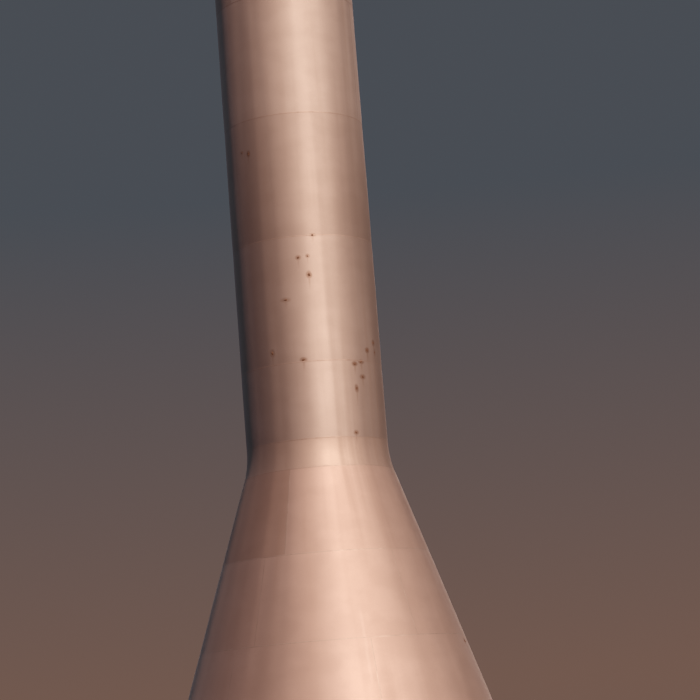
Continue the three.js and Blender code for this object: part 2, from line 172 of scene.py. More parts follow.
class Build:
    """Collects solids in one mesh."""

    def __init__(self):
        self.v, self.f, self.m, self.n = [], [], [], 0

    def add(self, v, f, at=None, mat=0):
        v = np.asarray(v, float)
        if at is not None:
            v = v @ at[:3, :3].T + at[:3, 3]
        self.v.append(v)
        self.f += [tuple(int(i) + self.n for i in q) for q in f]
        self.m += [mat] * len(f)
        self.n += len(v)

    def box(self, x0, x1, y0, y1, z0, z1, c=0.002, at=None, mat=0):
        v, ix = [], {}
        for i, X in enumerate((x0, x1)):
            for j, Y in enumerate((y0, y1)):
                for k, Z in enumerate((z0, z1)):
                    a, b, d = (c, -c)[i], (c, -c)[j], (c, -c)[k]
                    for n, q in enumerate(((X, Y + b, Z + d), (X + a, Y, Z + d), (X + a, Y + b, Z))):
                        ix[i, j, k, n] = len(v); v.append(q)
        f = []
        for i in (0, 1):
            f.append([ix[i, 0, 0, 0], ix[i, 1, 0, 0], ix[i, 1, 1, 0], ix[i, 0, 1, 0]])
            f.append([ix[0, i, 0, 1], ix[1, i, 0, 1], ix[1, i, 1, 1], ix[0, i, 1, 1]])
            f.append([ix[0, 0, i, 2], ix[1, 0, i, 2], ix[1, 1, i, 2], ix[0, 1, i, 2]])
        for a in (0, 1):
            for b in (0, 1):
                f.append([ix[a, b, 0, 0], ix[a, b, 1, 0], ix[a, b, 1, 1], ix[a, b, 0, 1]])
                f.append([ix[a, 0, b, 0], ix[a, 1, b, 0], ix[a, 1, b, 2], ix[a, 0, b, 2]])
                f.append([ix[0, a, b, 1], ix[1, a, b, 1], ix[1, a, b, 2], ix[0, a, b, 2]])
                for d in (0, 1):
                    f.append([ix[a, b, d, 0], ix[a, b, d, 1], ix[a, b, d, 2]])
        self.add(v, f, at, mat)

    def spin(self, profile, seg=24, at=None, mat=0, close=None, phase=0.0):
        """Revolves (r, z) points about z. Points on the axis become poles."""
        closed = close if close is not None else not (profile[0][0] == 0 and profile[-1][0] == 0)
        v, rows = [], []
        for r, z in profile:
            if r == 0:
                rows.append([len(v)]); v.append((0, 0, z))
            else:
                rows.append(list(range(len(v), len(v) + seg)))
                v += [(r * math.cos(TAU * (i + phase) / seg), r * math.sin(TAU * (i + phase) / seg), z) for i in range(seg)]
        f = []
        n = len(profile)
        for a in range(n if closed else n - 1):
            A, B = rows[a], rows[(a + 1) % n]
            for i in range(seg):
                j = (i + 1) % seg
                if len(A) == 1 and len(B) == 1:
                    continue
                if len(A) == 1:
                    f.append([A[0], B[j], B[i]])
                elif len(B) == 1:
                    f.append([A[i], A[j], B[0]])
                else:
                    f.append([A[i], A[j], B[j], B[i]])
        self.add(v, f, at, mat)

    def rod(self, p, d, r, h, seg=16, c=0.0015, mat=0, phase=0.0):
        """A cylinder of radius r and length h from p along d."""
        c = min(c, r * 0.4, h * 0.4)
        self.spin([(0, 0), (r - c, 0), (r, c), (r, h - c), (r - c, h), (0, h)], seg, face_frame(p, d), mat, phase=phase)

    def bolt(self, p, d, size=0.024, mat=0, washer=True, stud=0.4):
        """A hexagon nut or head on a washer, with the end of its thread."""
        m = face_frame(p, d)
        k = size
        if washer:
            self.spin([(0, -0.002), (k * 1.12, -0.002), (k * 1.15, 0.001), (k * 1.12, 0.0035), (0, 0.0035)], 16, m, mat)
        a = RNG.random()
        self.spin([(0, 0.003), (k * 0.86, 0.003), (k * 0.92, 0.006), (k * 0.92, k * 0.72), (k * 0.8, k * 0.8), (0, k * 0.8)], 6, m, mat, phase=a)
        if stud:
            h = k * 0.8 + k * stud
            self.spin([(0, k * 0.7), (k * 0.5, k * 0.7), (k * 0.5, h - 0.002), (k * 0.4, h), (0, h)], 10, m, mat)

    def tube(self, path, r, seg=12, closed=False, mat=0, bore=None, up=(0, 0, 1)):
        p = [np.array(q, float) for q in path]
        n = len(p)
        tan = []
        for i in range(n):
            a = p[(i - 1) % n] if (closed or i > 0) else p[i]
            b = p[(i + 1) % n] if (closed or i < n - 1) else p[i]
            t = b - a; tan.append(t / np.linalg.norm(t))
        v = []
        rings = [r] if bore is None else [r, bore]
        for i in range(n):
            m = face_frame(p[i], tan[i], up)
            for rr in rings:
                for s in range(seg):
                    a = TAU * s / seg
                    v.append(p[i] + m[:3, 0] * rr * math.cos(a) + m[:3, 1] * rr * math.sin(a))
        step = seg * len(rings)
        f = []
        for i in range(n if closed else n - 1):
            for q in range(len(rings)):
                for s in range(seg):
                    a = i * step + q * seg; b = ((i + 1) % n) * step + q * seg
                    f.append([a + s, a + (s + 1) % seg, b + (s + 1) % seg, b + s])
        if not closed:
            for i in (0, n - 1):
                a = i * step
                if bore is None:
                    f.append([a + s for s in range(seg)])
                else:
                    for s in range(seg):
                        f.append([a + s, a + (s + 1) % seg, a + seg + (s + 1) % seg, a + seg + s])
        self.add(v, f, None, mat)

    def mesh(self, name, angle=35):
        me = bpy.data.meshes.new(name)
        v = np.concatenate(self.v)
        me.from_pydata([tuple(q) for q in v], [], self.f)
        bm = bmesh.new(); bm.from_mesh(me)
        for q, k in zip(bm.faces, self.m):
            q.material_index = k
            q.smooth = True
        bmesh.ops.recalc_face_normals(bm, faces=bm.faces)
        bm.to_mesh(me); bm.free()
        me.set_sharp_from_angle(angle=rad(angle))
        return me


RNG = random.Random(5)


def piece(name, me, mats, replaces=()):
    o = bpy.data.objects.new(name, me)
    scene.collection.objects.link(o)
    for m in mats if isinstance(mats, (list, tuple)) else [mats]:
        me.materials.append(m)
    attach(o, "root")
    if replaces:
        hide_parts(*([replaces] if isinstance(replaces, str) else replaces))
    return o


# ------------------------------------------------------------------- materials
class Nodes:
    """Short names for making a node material."""

    def __init__(self, name):
        self.mat = bpy.data.materials.new(name)
        self.mat.use_nodes = True
        self.t = self.mat.node_tree
        self.t.nodes.clear()
        self.out = self.t.nodes.new("ShaderNodeOutputMaterial")
        self.bsdf = self.t.nodes.new("ShaderNodeBsdfPrincipled")
        self.t.links.new(self.bsdf.outputs[0], self.out.inputs[0])
        self.pos = self.t.nodes.new("ShaderNodeTexCoord").outputs["Object"]

    def link(self, a, b):
        self.t.links.new(a, b)

    def put(self, sock, v):
        if hasattr(v, "links") or isinstance(v, bpy.types.NodeSocket):
            self.link(v, sock)
        elif isinstance(v, (tuple, list)) and len(v) == 3 and sock.type == "RGBA":
            sock.default_value = (*v, 1)
        else:
            sock.default_value = v

    def math(self, op, a, b=0.0, c=None, clamp=False):
        n = self.t.nodes.new("ShaderNodeMath"); n.operation = op; n.use_clamp = clamp
        self.put(n.inputs[0], a); self.put(n.inputs[1], b)
        if c is not None:
            self.put(n.inputs[2], c)
        return n.outputs[0]

    def scaled(self, s, vec=None, shift=(0, 0, 0)):
        n = self.t.nodes.new("ShaderNodeMapping")
        self.link(vec or self.pos, n.inputs[0])
        n.inputs["Scale"].default_value = s if isinstance(s, (tuple, list)) else (s, s, s)
        n.inputs["Location"].default_value = shift
        return n.outputs[0]

    def round(self, radius=2.0):
        """Coordinates that follow a shell of revolution: runs of rain go straight down its slope."""
        x, y, z = self.xyz()
        r = self.math("SQRT", self.math("ADD", self.math("MULTIPLY", x, x), self.math("MULTIPLY", y, y)))
        k = self.math("DIVIDE", radius, self.math("MAXIMUM", r, 0.05))
        n = self.t.nodes.new("ShaderNodeCombineXYZ")
        self.link(self.math("MULTIPLY", x, k), n.inputs[0])
        self.link(self.math("MULTIPLY", y, k), n.inputs[1])
        self.link(z, n.inputs[2])
        return n.outputs[0]

    def noise(self, scale, detail=4, rough=0.55, vec=None, stretch=None, shift=(0, 0, 0), warp=0.0):
        n = self.t.nodes.new("ShaderNodeTexNoise")
        v = self.scaled(stretch or (1, 1, 1), vec, shift)
        self.link(v, n.inputs["Vector"])
        n.inputs["Scale"].default_value = scale
        n.inputs["Detail"].default_value = detail
        n.inputs["Roughness"].default_value = rough
        n.inputs["Distortion"].default_value = warp
        return n.outputs[0]

    def span(self, v, a, b, lo=0.0, hi=1.0, smooth=True):
        n = self.t.nodes.new("ShaderNodeMapRange")
        n.interpolation_type = "SMOOTHSTEP" if smooth else "LINEAR"
        self.put(n.inputs[0], v)
        for i, x in enumerate((a, b, lo, hi)):
            n.inputs[i + 1].default_value = x
        return n.outputs[0]

    def mix(self, fac, a, b, mode="MIX"):
        n = self.t.nodes.new("ShaderNodeMix"); n.data_type = "RGBA"; n.blend_type = mode
        self.put(n.inputs[0], fac); self.put(n.inputs[6], a); self.put(n.inputs[7], b)
        return n.outputs[2]

    def xyz(self, vec=None):
        n = self.t.nodes.new("ShaderNodeSeparateXYZ"); self.link(vec or self.pos, n.inputs[0])
        return n.outputs

    def bump(self, height, strength, distance=0.01, normal=None):
        n = self.t.nodes.new("ShaderNodeBump")
        n.inputs["Strength"].default_value = strength
        n.inputs["Distance"].default_value = distance
        self.link(height, n.inputs["Height"])
        if normal is not None:
            self.link(normal, n.inputs["Normal"])
        return n.outputs[0]

    def grey(self, v):
        n = self.t.nodes.new("ShaderNodeCombineColor")
        for i in range(3):
            self.link(v, n.inputs[i])
        return n.outputs[0]

    def done(self, color, rough, metallic=0.0, normal=None, spec=None):
        self.put(self.bsdf.inputs["Base Color"], color)
        self.put(self.bsdf.inputs["Roughness"], rough)
        self.bsdf.inputs["Metallic"].default_value = metallic
        if spec is not None:
            self.bsdf.inputs["Specular IOR Level"].default_value = spec
        if normal is not None:
            self.link(normal, self.bsdf.inputs["Normal"])
        return self.mat


SILVER = (0.58, 0.545, 0.51)
GRIME = (0.20, 0.170, 0.145)
RUST_A, RUST_B = (0.245, 0.218, 0.190), (0.165, 0.142, 0.122)


def paint(name, dirt=0.35, rust=0.25, tone=1.0, foot=False, marks=False, metallic=0.94, plates=True, wash=0.0, height_ramp=None, radius=2.0, gloss=0.70, tint=(1, 1, 1)):
    """Aluminium paint on steel, as old as the tower: chalked, rain-washed, with rust starting in pores."""
    s = Nodes(name)
    x, y, z = s.xyz()
    blotch = s.noise(0.55, 5, 0.55, stretch=(1, 1, 0.6), shift=(3, 1, 7))
    down = s.round(radius) if radius else s.pos
    streak = s.noise(1.0, 1.5, 0.4, vec=down, stretch=(2.3, 2.3, 0.12), shift=(8, 1, 6))
    thin = s.noise(1.0, 2.5, 0.45, vec=down, stretch=(3.8, 3.8, 0.20), shift=(1, 8, 3))
    laps = s.noise(1.0, 3, 0.5, stretch=(1.6, 1.6, 2.6), shift=(9, 4, 2))
    grain = s.noise(55, 4, 0.6)
    v = s.math("MULTIPLY_ADD", s.span(blotch, 0.30, 0.70), 0.055, 0.9725)
    v = s.math("MULTIPLY", v, s.math("MULTIPLY_ADD", s.span(streak, 0.28, 0.72), 0.06, 0.97))
    v = s.math("MULTIPLY", v, s.math("MULTIPLY_ADD", s.span(laps, 0.38, 0.64), 0.03, 0.985))
    v = s.math("MULTIPLY", v, s.math("MULTIPLY_ADD", grain, 0.07, 0.965))
    if plates:
        plate = s.t.nodes.new("ShaderNodeAttribute"); plate.attribute_name = "plate"
        v = s.math("MULTIPLY", v, s.math("MULTIPLY_ADD", plate.outputs["Fac"], 0.07, 0.965 * tone))
    if height_ramp:
        # a mottled ramp by height: the paint is darker below it and lighter above it
        e = s.math("ADD", z, s.math("MULTIPLY", blotch, 1.2))
        dull = s.span(e, height_ramp[0], height_ramp[1])
        v = s.math("MULTIPLY", v, s.math("MULTIPLY_ADD", dull, 1.04 - height_ramp[2], height_ramp[2]))
    col = s.mix(1.0, tuple(a * b for a, b in zip(SILVER, tint)), s.grey(v), "MULTIPLY")
    # grime carried down by rain
    g = s.math("MULTIPLY", s.span(thin, 0.42, 0.86), s.span(blotch, 0.38, 0.62, 0.25, 1.0))
    col = s.mix(s.math("MULTIPLY", g, dirt), col, GRIME)
    if wash:
        # the underside of the tank keeps its dirt, in runs below the widest joint
        low = s.span(z, TANK_Z + 0.6, TANK_Z - 3.6)
        run = s.noise(1.0, 5, 0.6, vec=down, stretch=(3.2, 3.2, 0.30), shift=(4, 4, 8))
        col = s.mix(s.math("MULTIPLY", s.math("MULTIPLY", low, s.span(run, 0.36, 0.66)), wash), col, (0.17, 0.150, 0.132))
    if foot:
        # splashed soil near the ground
        edge = s.math("ADD", z, s.math("MULTIPLY", s.noise(3.2, 5, 0.7), -0.9))
        col = s.mix(s.span(edge, 0.35, -0.3, 0.0, 0.75), col, (0.21, 0.180, 0.148))
    # pin-head rust where the film has failed
    cell = s.noise(24.0, 5, 0.7, shift=(2, 2, 2))
    pin = s.math("MULTIPLY", s.span(cell, 0.70, 0.735), s.span(blotch, 0.47, 0.6))
    col = s.mix(s.math("MULTIPLY", pin, rust), col, RUST_A)
    if marks:
        col = marks(s, col)
    rough = s.math("MULTIPLY_ADD", s.span(streak, 0.3, 0.7), 0.05, gloss - 0.005)
    rough = s.math("ADD", rough, s.math("MULTIPLY", g, 0.025))
    if height_ramp:
        # and rougher above the ramp, which widens the sheen there
        rough = s.math("ADD", rough, s.math("MULTIPLY", dull, height_ramp[3]))
    fine = s.bump(s.noise(95, 3, 0.5), 0.08, 0.001)
    coat = s.bump(s.noise(1.0, 4, 0.6, stretch=(6, 6, 1.4)), 0.10, 0.004, fine)
    return s.done(col, rough, metallic, coat)


def bead_paint(name):
    s = Nodes(name)
    n = s.noise(7, 6, 0.7)
    col = s.mix(s.span(s.noise(4, 4, 0.6), 0.3, 0.7), tuple(c * 0.88 for c in SILVER), tuple(c * 0.99 for c in SILVER))
    # painted light: weld paint 7 % lighter below 5.8 m, fading out by 7 m, offsetting the shade of the bead's round
    # shape on the bell
    col = s.mix(1.0, col, s.grey(s.span(s.xyz()[2], 7.0, 5.8, 1.0, 1.07)), "MULTIPLY")
    col = s.mix(s.span(n, 0.56, 0.72, 0, 0.22), col, GRIME)
    col = s.mix(s.span(n, 0.70, 0.78, 0, 0.5), col, RUST_A)
    return s.done(col, s.span(n, 0.4, 0.7, 0.72, 0.77), 0.94, s.bump(s.noise(160, 3, 0.5), 0.25, 0.001))


def rust(name):
    s = Nodes(name)
    n = s.noise(38, 6, 0.7)
    col = s.mix(s.span(n, 0.35, 0.65), RUST_B, RUST_A)
    col = s.mix(s.span(s.noise(120, 4, 0.6), 0.55, 0.75), col, (0.29, 0.232, 0.186))
    return s.done(col, s.span(n, 0.3, 0.7, 0.72, 0.95), 0.0, s.bump(s.noise(140, 6, 0.7), 0.8, 0.004), spec=0.25)


def concrete(name):
    s = Nodes(name)
    x, y, z = s.xyz()
    a = s.noise(1.3, 7, 0.62)
    b = s.noise(14, 6, 0.65)
    col = s.mix(s.span(a, 0.3, 0.7), (0.33, 0.365, 0.380), (0.47, 0.520, 0.535))
    col = s.mix(s.span(b, 0.35, 0.75, 0, 0.45), col, (0.26, 0.280, 0.280))
    col = s.mix(s.math("MULTIPLY", s.span(z, 0.13, 0.0), s.span(a, 0.25, 0.6, 0.35, 0.85)), col, (0.20, 0.18, 0.15))
    col = s.mix(s.span(s.noise(1.0, 5, 0.6, stretch=(6, 6, 0.7), shift=(3, 3, 0)), 0.60, 0.76, 0, 0.55), col, (0.27, 0.165, 0.095))
    pits = s.noise(85, 3, 0.5)
    return s.done(col, 0.9, 0.0, s.bump(s.span(pits, 0.3, 0.45), 0.5, 0.004, s.bump(b, 0.5, 0.012)), spec=0.3)


def zinc(name):
    s = Nodes(name)
    n = s.t.nodes.new("ShaderNodeTexVoronoi"); s.link(s.pos, n.inputs["Vector"]); n.inputs["Scale"].default_value = 55
    a = s.noise(9, 5, 0.6)
    col = s.mix(s.math("MULTIPLY", n.outputs["Distance"], 1.4), (0.36, 0.365, 0.36), (0.50, 0.505, 0.50))
    col = s.mix(s.span(a, 0.5, 0.72, 0, 0.5), col, (0.30, 0.285, 0.25))
    return s.done(col, s.span(a, 0.3, 0.7, 0.38, 0.58), 0.85, s.bump(a, 0.2, 0.002))


def lens_red(name):
    s = Nodes(name)
    a = s.noise(25, 4, 0.6)
    col = s.mix(s.span(a, 0.3, 0.7), (0.34, 0.012, 0.008), (0.46, 0.022, 0.012))
    col = s.mix(s.span(s.noise(9, 5, 0.6), 0.55, 0.8, 0, 0.3), col, (0.25, 0.12, 0.09))
    return s.done(col, s.span(a, 0.3, 0.7, 0.12, 0.24), 0.0, s.bump(a, 0.08, 0.002), spec=0.6)


# the white run and the stains round the paint failures that the photograph shows
SPOTS = [  # pixel x, y, width, height, depth of colour, slant in degrees
    (312.4, 235.0, 6, 3.4, 0.50, 0), (298.0, 257.6, 5, 4.6, 0.62, -20), (307.4, 256.0, 4, 4.0, 0.5, 0), (309.0, 274.6, 5, 6.4, 0.85, -35),
    (285.6, 300.0, 9, 4.2, 0.45, 8), (272.4, 353.4, 5, 7.0, 0.6, 10), (303.6, 359.8, 6.5, 4.6, 0.8, -10), (354.6, 363.8, 6, 4.4, 1.0, 20),
    (361.0, 361.8, 7, 3.8, 0.85, 12), (367.0, 350.4, 5.5, 5.0, 0.95, 35), (373.0, 343.0, 5, 6.0, 0.8, -20), (374.4, 352.4, 4, 7.0, 0.45, 10),
    (362.6, 377.0, 7, 4.4, 0.75, -35), (356.6, 388.4, 4.2, 7.0, 0.9, -35), (356.2, 432.4, 5, 4.2, 0.85, 0), (248.4, 154.0, 4, 6.0, 0.8, 15),
    (242.0, 153.0, 4, 4.0, 0.4, 0), (465.0, 641.0, 5, 5.0, 1.0, 0)]
PLACED = [(*on_skin(a, b), w, h, k, tilt) for a, b, w, h, k, tilt in SPOTS]
MPP = 41.3 / FOCAL          # metres to a pixel at the pedestal


def marks_for(z0, z1, run=None):
    """Adds the stains whose place is in this span of height."""
    mine = [q for q in PLACED if z0 - 0.3 < q[1] < z1 + 0.3]

    def add(s, col):
        x, y, z = s.xyz()
        wob = s.noise(13, 4, 0.6)
        total = None
        for th, zc, w, h, k, _ in mine:
            # distance round the plate, measured along the chord from the mark's own radius
            cx, cy = math.cos(th), math.sin(th)
            r = skin(zc)
            u = s.math("ADD", s.math("MULTIPLY", x, -cy / (w * MPP * 0.5)), s.math("MULTIPLY", y, cx / (w * MPP * 0.5)))
            face = s.math("ADD", s.math("MULTIPLY", x, cx), s.math("MULTIPLY", y, cy))
            near = s.math("GREATER_THAN", face, r * 0.5)
            q = s.math("DIVIDE", s.math("SUBTRACT", z, zc), h * MPP * 0.5)
            d = s.math("ADD", s.math("MULTIPLY", u, u), s.math("MULTIPLY", q, q))
            d = s.math("ADD", d, s.math("MULTIPLY_ADD", wob, 1.6, -0.8))
            halo = s.math("MULTIPLY", s.span(d, 2.4, 0.2), 0.55 * k)
            # a stain that rain draws down below it
            tail = s.math("MULTIPLY", s.span(s.math("ABSOLUTE", u), 0.55, 0.1), s.math("MULTIPLY", s.span(q, -6.0, -0.6), s.span(q, 0.2, -0.4)))
            m = s.math("MULTIPLY", s.math("MAXIMUM", halo, s.math("MULTIPLY", tail, 0.26 * k)), near)
            total = m if total is None else s.math("MAXIMUM", total, m)
        if total is not None:
            col = s.mix(total, col, (0.27, 0.228, 0.196))
        if run:
            th, za, zb = run
            cx, cy = math.cos(th), math.sin(th)
            u = s.math("ADD", s.math("MULTIPLY", x, -cy), s.math("MULTIPLY", y, cx))
            face = s.math("ADD", s.math("MULTIPLY", x, cx), s.math("MULTIPLY", y, cy))
            u = s.math("ADD", u, s.math("MULTIPLY_ADD", s.noise(1.0, 3, 0.5, stretch=(0.1, 0.1, 5)), 0.05, -0.025))
            m = s.math("MULTIPLY", s.span(s.math("ABSOLUTE", u), 0.045, 0.008), s.math("GREATER_THAN", face, 1.0))
            m = s.math("MULTIPLY", m, s.math("MULTIPLY", s.span(z, za - 0.12, za + 0.12), s.span(z, zb + 0.12, zb - 0.12)))
            m = s.math("MULTIPLY", m, s.span(s.noise(5, 3, 0.5), 0.25, 0.5, 0.5, 1.0))
            col = s.mix(s.math("MULTIPLY", m, 0.10), col, (0.80, 0.77, 0.74))
        return col
    return add


M_BEAD = bead_paint("weld_paint")
M_RUST = rust("rust")
M_CONC = concrete("cast_concrete")
M_ZINC = zinc("dull_zinc")
M_LENS = lens_red("lens_red")
M_TRIM = paint("trim_paint", tint=(1, 1.035, 1.06), dirt=0.35, rust=0.7, plates=False, radius=None)
M_FOOT = paint("foot_paint", tint=(1, 1.035, 1.06), tone=1.03, dirt=0.5, rust=0.9, foot=True, plates=False)

# ------------------------------------------------------------- plate shells
SHELL_SEG = 180


def seam_dip(s, marks, wide, deep):
    d = np.zeros_like(s)
    for m in marks:
        d -= deep * np.exp(-((s - m) / wide) ** 2)
    return d


def strip(b, P, N, E, w, h, closed=False):
    """A low half-round weld bead along P, on plate whose outward normals are N. E points across it."""
    v, m, k = [], 7, len(P)
    for p, n, e in zip(P, N, E):
        for i in range(6):
            a = math.pi * i / 5
            v.append(p - e * (w * math.cos(a)) + n * (h * math.sin(a) - 0.0003))
        v.append(p - n * 0.006)
    f = [(i * m + j, i * m + (j + 1) % m, ((i + 1) % k) * m + (j + 1) % m, ((i + 1) % k) * m + j)
         for i in range(k if closed else k - 1) for j in range(m)]
    if not closed:
        f += [tuple(range(m)), tuple((k - 1) * m + j for j in range(m))]
    b.add(v, f)


def shell(name, node, pts, t, mat, uprights=(), seg=SHELL_SEG, wave=1.0, tones=None, end_dip=(1, 1), cut=None,
          weld=None, ring=(0.010, 0.0010), upright=(0.009, 0.0006), top=True, inner=0.0, gap=None):
    """One course of plate: pts runs up the outside as (r, z). Uprights are the angles of its vertical welds.

    Its welds go into weld: one up each upright, one round its top edge (but for gap either side of the door)
    and one round its row at the radius inner, where it has a round centre plate."""
    pts = np.array(pts, float)
    n = len(pts)
    g = np.gradient(pts, axis=0)
    nr, nz = g[:, 1], -g[:, 0]
    ln = np.hypot(nr, nz); nr, nz = nr / ln, nz / ln
    on_axis0, on_axis1 = pts[0, 0] < 1e-6, pts[-1, 0] < 1e-6
    if on_axis0:
        nr[0], nz[0] = 0, -1
    if on_axis1:
        nr[-1], nz[-1] = 0, 1
    s = np.concatenate([[0], np.cumsum(np.hypot(*np.diff(pts, axis=0).T))])
    th = np.arange(seg) * TAU / seg
    R, TH = np.meshgrid(pts[:, 0], th, indexing="ij")
    Z = np.repeat(pts[:, 1][:, None], seg, 1)
    P = np.stack([R * np.cos(TH), R * np.sin(TH), Z], -1).reshape(-1, 3)
    d = 0.0015 * BROAD(P) + 0.0004 * PANEL(P) + 0.0006 * FLATS(P)
    S = np.repeat(s[:, None], seg, 1).reshape(-1)
    ends = []
    if end_dip[0] and not on_axis0:
        ends.append(0)
    if end_dip[1] and not on_axis1:
        ends.append(s[-1])
    if inner:
        centre = int(np.argmin(abs(pts[:, 0] - inner)))
        ends.append(s[centre])
    d = d * wave + seam_dip(S, ends, 0.10, 0.0018)
    for u in uprights:
        a = (TH.reshape(-1) - u + math.pi) % TAU - math.pi
        d -= 0.0018 * np.exp(-((a * R.reshape(-1)) / 0.09) ** 2)
    d = np.clip(d, -0.008, 0.0028)
    NR = np.repeat(nr[:, None], seg, 1).reshape(-1); NZ = np.repeat(nz[:, None], seg, 1).reshape(-1)
    N = np.stack([NR * np.cos(TH.reshape(-1)), NR * np.sin(TH.reshape(-1)), NZ], -1)
    outer, within = P + N * d[:, None], P + N * (d - t)[:, None]
    if weld is not None:
        G, M = outer.reshape(n, seg, 3), N.reshape(n, seg, 3)
        across = np.stack([-M[:, :, 2] * np.cos(TH), -M[:, :, 2] * np.sin(TH), np.hypot(M[:, :, 0], M[:, :, 1])], -1)
        first = int(np.argmax(pts[:, 0] > inner + 0.01)) if inner and on_axis0 else 1
        last = n - int(np.argmax(pts[::-1, 0] > inner + 0.01)) if inner and on_axis1 else n - 1
        for u in uprights:
            j = int(round((u % TAU) / TAU * seg)) % seg
            e = np.array((-math.sin(th[j]), math.cos(th[j]), 0.0))
            strip(weld, G[first:last, j], M[first:last, j], [e] * (last - first), *upright)
        if top and gap:
            js = [j for j in range(seg) if gap <= j * TAU / seg <= TAU - gap]
            strip(weld, G[-1, js], M[-1, js], across[-1, js], *ring)
        elif top:
            strip(weld, G[-1], M[-1], across[-1], *ring, closed=True)
        if inner:
            strip(weld, G[centre], M[centre], across[centre], *ring, closed=True)
    v = np.concatenate([outer, within])
    off = n * seg
    f, plate = [], []
    cuts = sorted(u % TAU for u in uprights)
    tones = tones or [RNG.random() for _ in range(max(1, len(cuts)))]

    def which(a):
        a %= TAU
        k = sum(1 for u in cuts if u <= a)
        return tones[k % len(tones)]
    tone_at = [which(TAU * (i + 0.5) / seg) for i in range(seg)]
    for i in range(n - 1):
        for j in range(seg):
            k = (j + 1) % seg
            a, b, c, e = i * seg + j, i * seg + k, (i + 1) * seg + k, (i + 1) * seg + j
            f.append((a, b, c, e)); plate.append(tone_at[j])
            f.append((off + a, off + e, off + c, off + b)); plate.append(0.4)
    for i, row in ((0, 0), (1, n - 1)):
        if (i == 0 and on_axis0) or (i == 1 and on_axis1):
            continue
        for j in range(seg):
            k = (j + 1) % seg
            a, b = row * seg + j, row * seg + k
            f.append((a, off + a, off + b, b) if i == 0 else (a, b, off + b, off + a)); plate.append(0.4)
    me = bpy.data.meshes.new(name)
    me.from_pydata([tuple(q) for q in v], [], f)
    att = me.attributes.new("plate", "FLOAT", "FACE")
    att.data.foreach_set("value", np.array(plate, np.float32))
    bm = bmesh.new(); bm.from_mesh(me)
    bmesh.ops.remove_doubles(bm, verts=bm.verts, dist=1e-5)
    bmesh.ops.recalc_face_normals(bm, faces=bm.faces)
    for q in bm.faces:
        q.smooth = True
    bm.to_mesh(me); bm.free()
    if cut:
        me = carve(name, me, cut)
    me.set_sharp_from_angle(angle=rad(40))
    return piece(name, me, mat, replaces=node)


def carve(name, me, builds):
    """Takes the given solids out of a mesh, whose faces are made flat first."""
    bm = bmesh.new(); bm.from_mesh(me)
    bmesh.ops.triangulate(bm, faces=bm.faces)
    bm.to_mesh(me); bm.free()
    body = bpy.data.objects.new(name + "_body", me)
    scene.collection.objects.link(body)
    tools = []
    for b in builds:
        tm = b.mesh("tool")
        to = bpy.data.objects.new("tool", tm)
        scene.collection.objects.link(to)
        m = body.modifiers.new("cut", "BOOLEAN")
        m.operation, m.solver, m.object = "DIFFERENCE", "EXACT", to
        tools.append(to)
    bpy.context.view_layer.update()
    dg = bpy.context.evaluated_depsgraph_get()
    out = bpy.data.meshes.new_from_object(body.evaluated_get(dg))
    out.name = name
    for o in [body, *tools]:
        bpy.data.objects.remove(o)
    return out


def rows(z0, z1, step, f):
    """Meridian points, closer together near both welds."""
    near = [0, 0.02, 0.05, 0.09, 0.15, 0.22]
    h = z1 - z0
    zs = [z0 + a for a in near if a < h / 2] + [z1 - a for a in near if a < h / 2]
    k = max(1, int((h - 0.44) / step))
    zs += [z0 + 0.22 + (h - 0.44) * i / k for i in range(k + 1)] if h > 0.5 else [z0 + h / 2]
    zs = sorted(set(round(q, 5) for q in zs))
    return [(f(q), q) for q in zs]


WELDS = Build()          # every bead on the pedestal


def bead_ring(b, r, z, nr, nz, w, h, seg=SHELL_SEG):
    """A fillet weld round the tower, where one plate stands on another."""
    tr, tz = -nz, nr      # up the meridian
    prof = []
    for i in range(6):
        a = math.pi * i / 5
        prof.append((r + tr * w * -math.cos(a) + nr * (h * math.sin(a) - 0.0025), z + tz * w * -math.cos(a) + nz * (h * math.sin(a) - 0.0025)))
    prof.append((r - nr * 0.008, z - nz * 0.008))
    b.spin(prof, seg, close=True)


# bell
bell_step = (Z_KNUCKLE - Z_BELL) / 4
run_th, run_top = on_skin(360.5, 611)
_, run_low = on_skin(361.0, 682)
seam_th, _ = on_skin(286.5, 522)


def door_tool():
    b = Build(); h = DOOR_W / 2
    b.box(2.0, 4.6, -h + 0.004, h - 0.004, DOOR_Z0 + 0.004, DOOR_Z1 - 0.004, 0.001)
    return b


def pipe_tool():
    b = Build(); b.rod((-2.8, 0, 1.15), (-1, 0, 0), 0.1085, 1.1, 32)
    return b


BELL_UPRIGHTS = []
for i in range(4):
    z0, z1 = Z_BELL + bell_step * i, Z_BELL + bell_step * (i + 1) - 0.0003
    pts = rows(z0, z1, 0.16, skin)
    count = 6 if i < 2 else 5 if i == 2 else 4
    first = {0: rad(18), 1: rad(46), 2: rad(-52), 3: seam_th}[i]
    ups = [(first + TAU * k / count) % TAU for k in range(count)]
    BELL_UPRIGHTS.append(ups)
    tones = [(0.62, 0.40, 0.55, 0.48, 0.60, 0.45)[(k + i) % 6] for k in range(count)]
    if i == 3:
        # the plate left of the visible weld is a little duller than its neighbour
        tones = [0.5, 0.3, -0.60, 0.75]
    mat = paint(f"bell_paint_{i + 1}", tint=(1, 0.975, 0.975), dirt=0.09, rust=0.35, gloss=0.735, tone=(1.08, 1.075, 1.06, 1.03)[i], foot=(i == 0), marks=marks_for(z0, z1, (run_th, run_low, run_top) if i in (1, 2) else None))
    cut = [door_tool(), pipe_tool()] if i == 0 else [door_tool()] if i == 1 else None
    shell(f"bell_plate_{i + 1}", f"bell_course_{i + 1}", pts, 0.012, mat, ups, tones=tones, cut=cut, weld=WELDS,
          gap=rad(10) if i == 0 else None)
k_pts = rows(Z_KNUCKLE, Z_SHAFT - 0.0003, 0.06, skin)
k_pts = sorted(set(k_pts + [(skin(Z_KNUCKLE + 0.55 * i / 9 * 0.998), Z_KNUCKLE + 0.55 * i / 9 * 0.998) for i in range(10)]), key=lambda q: q[1])
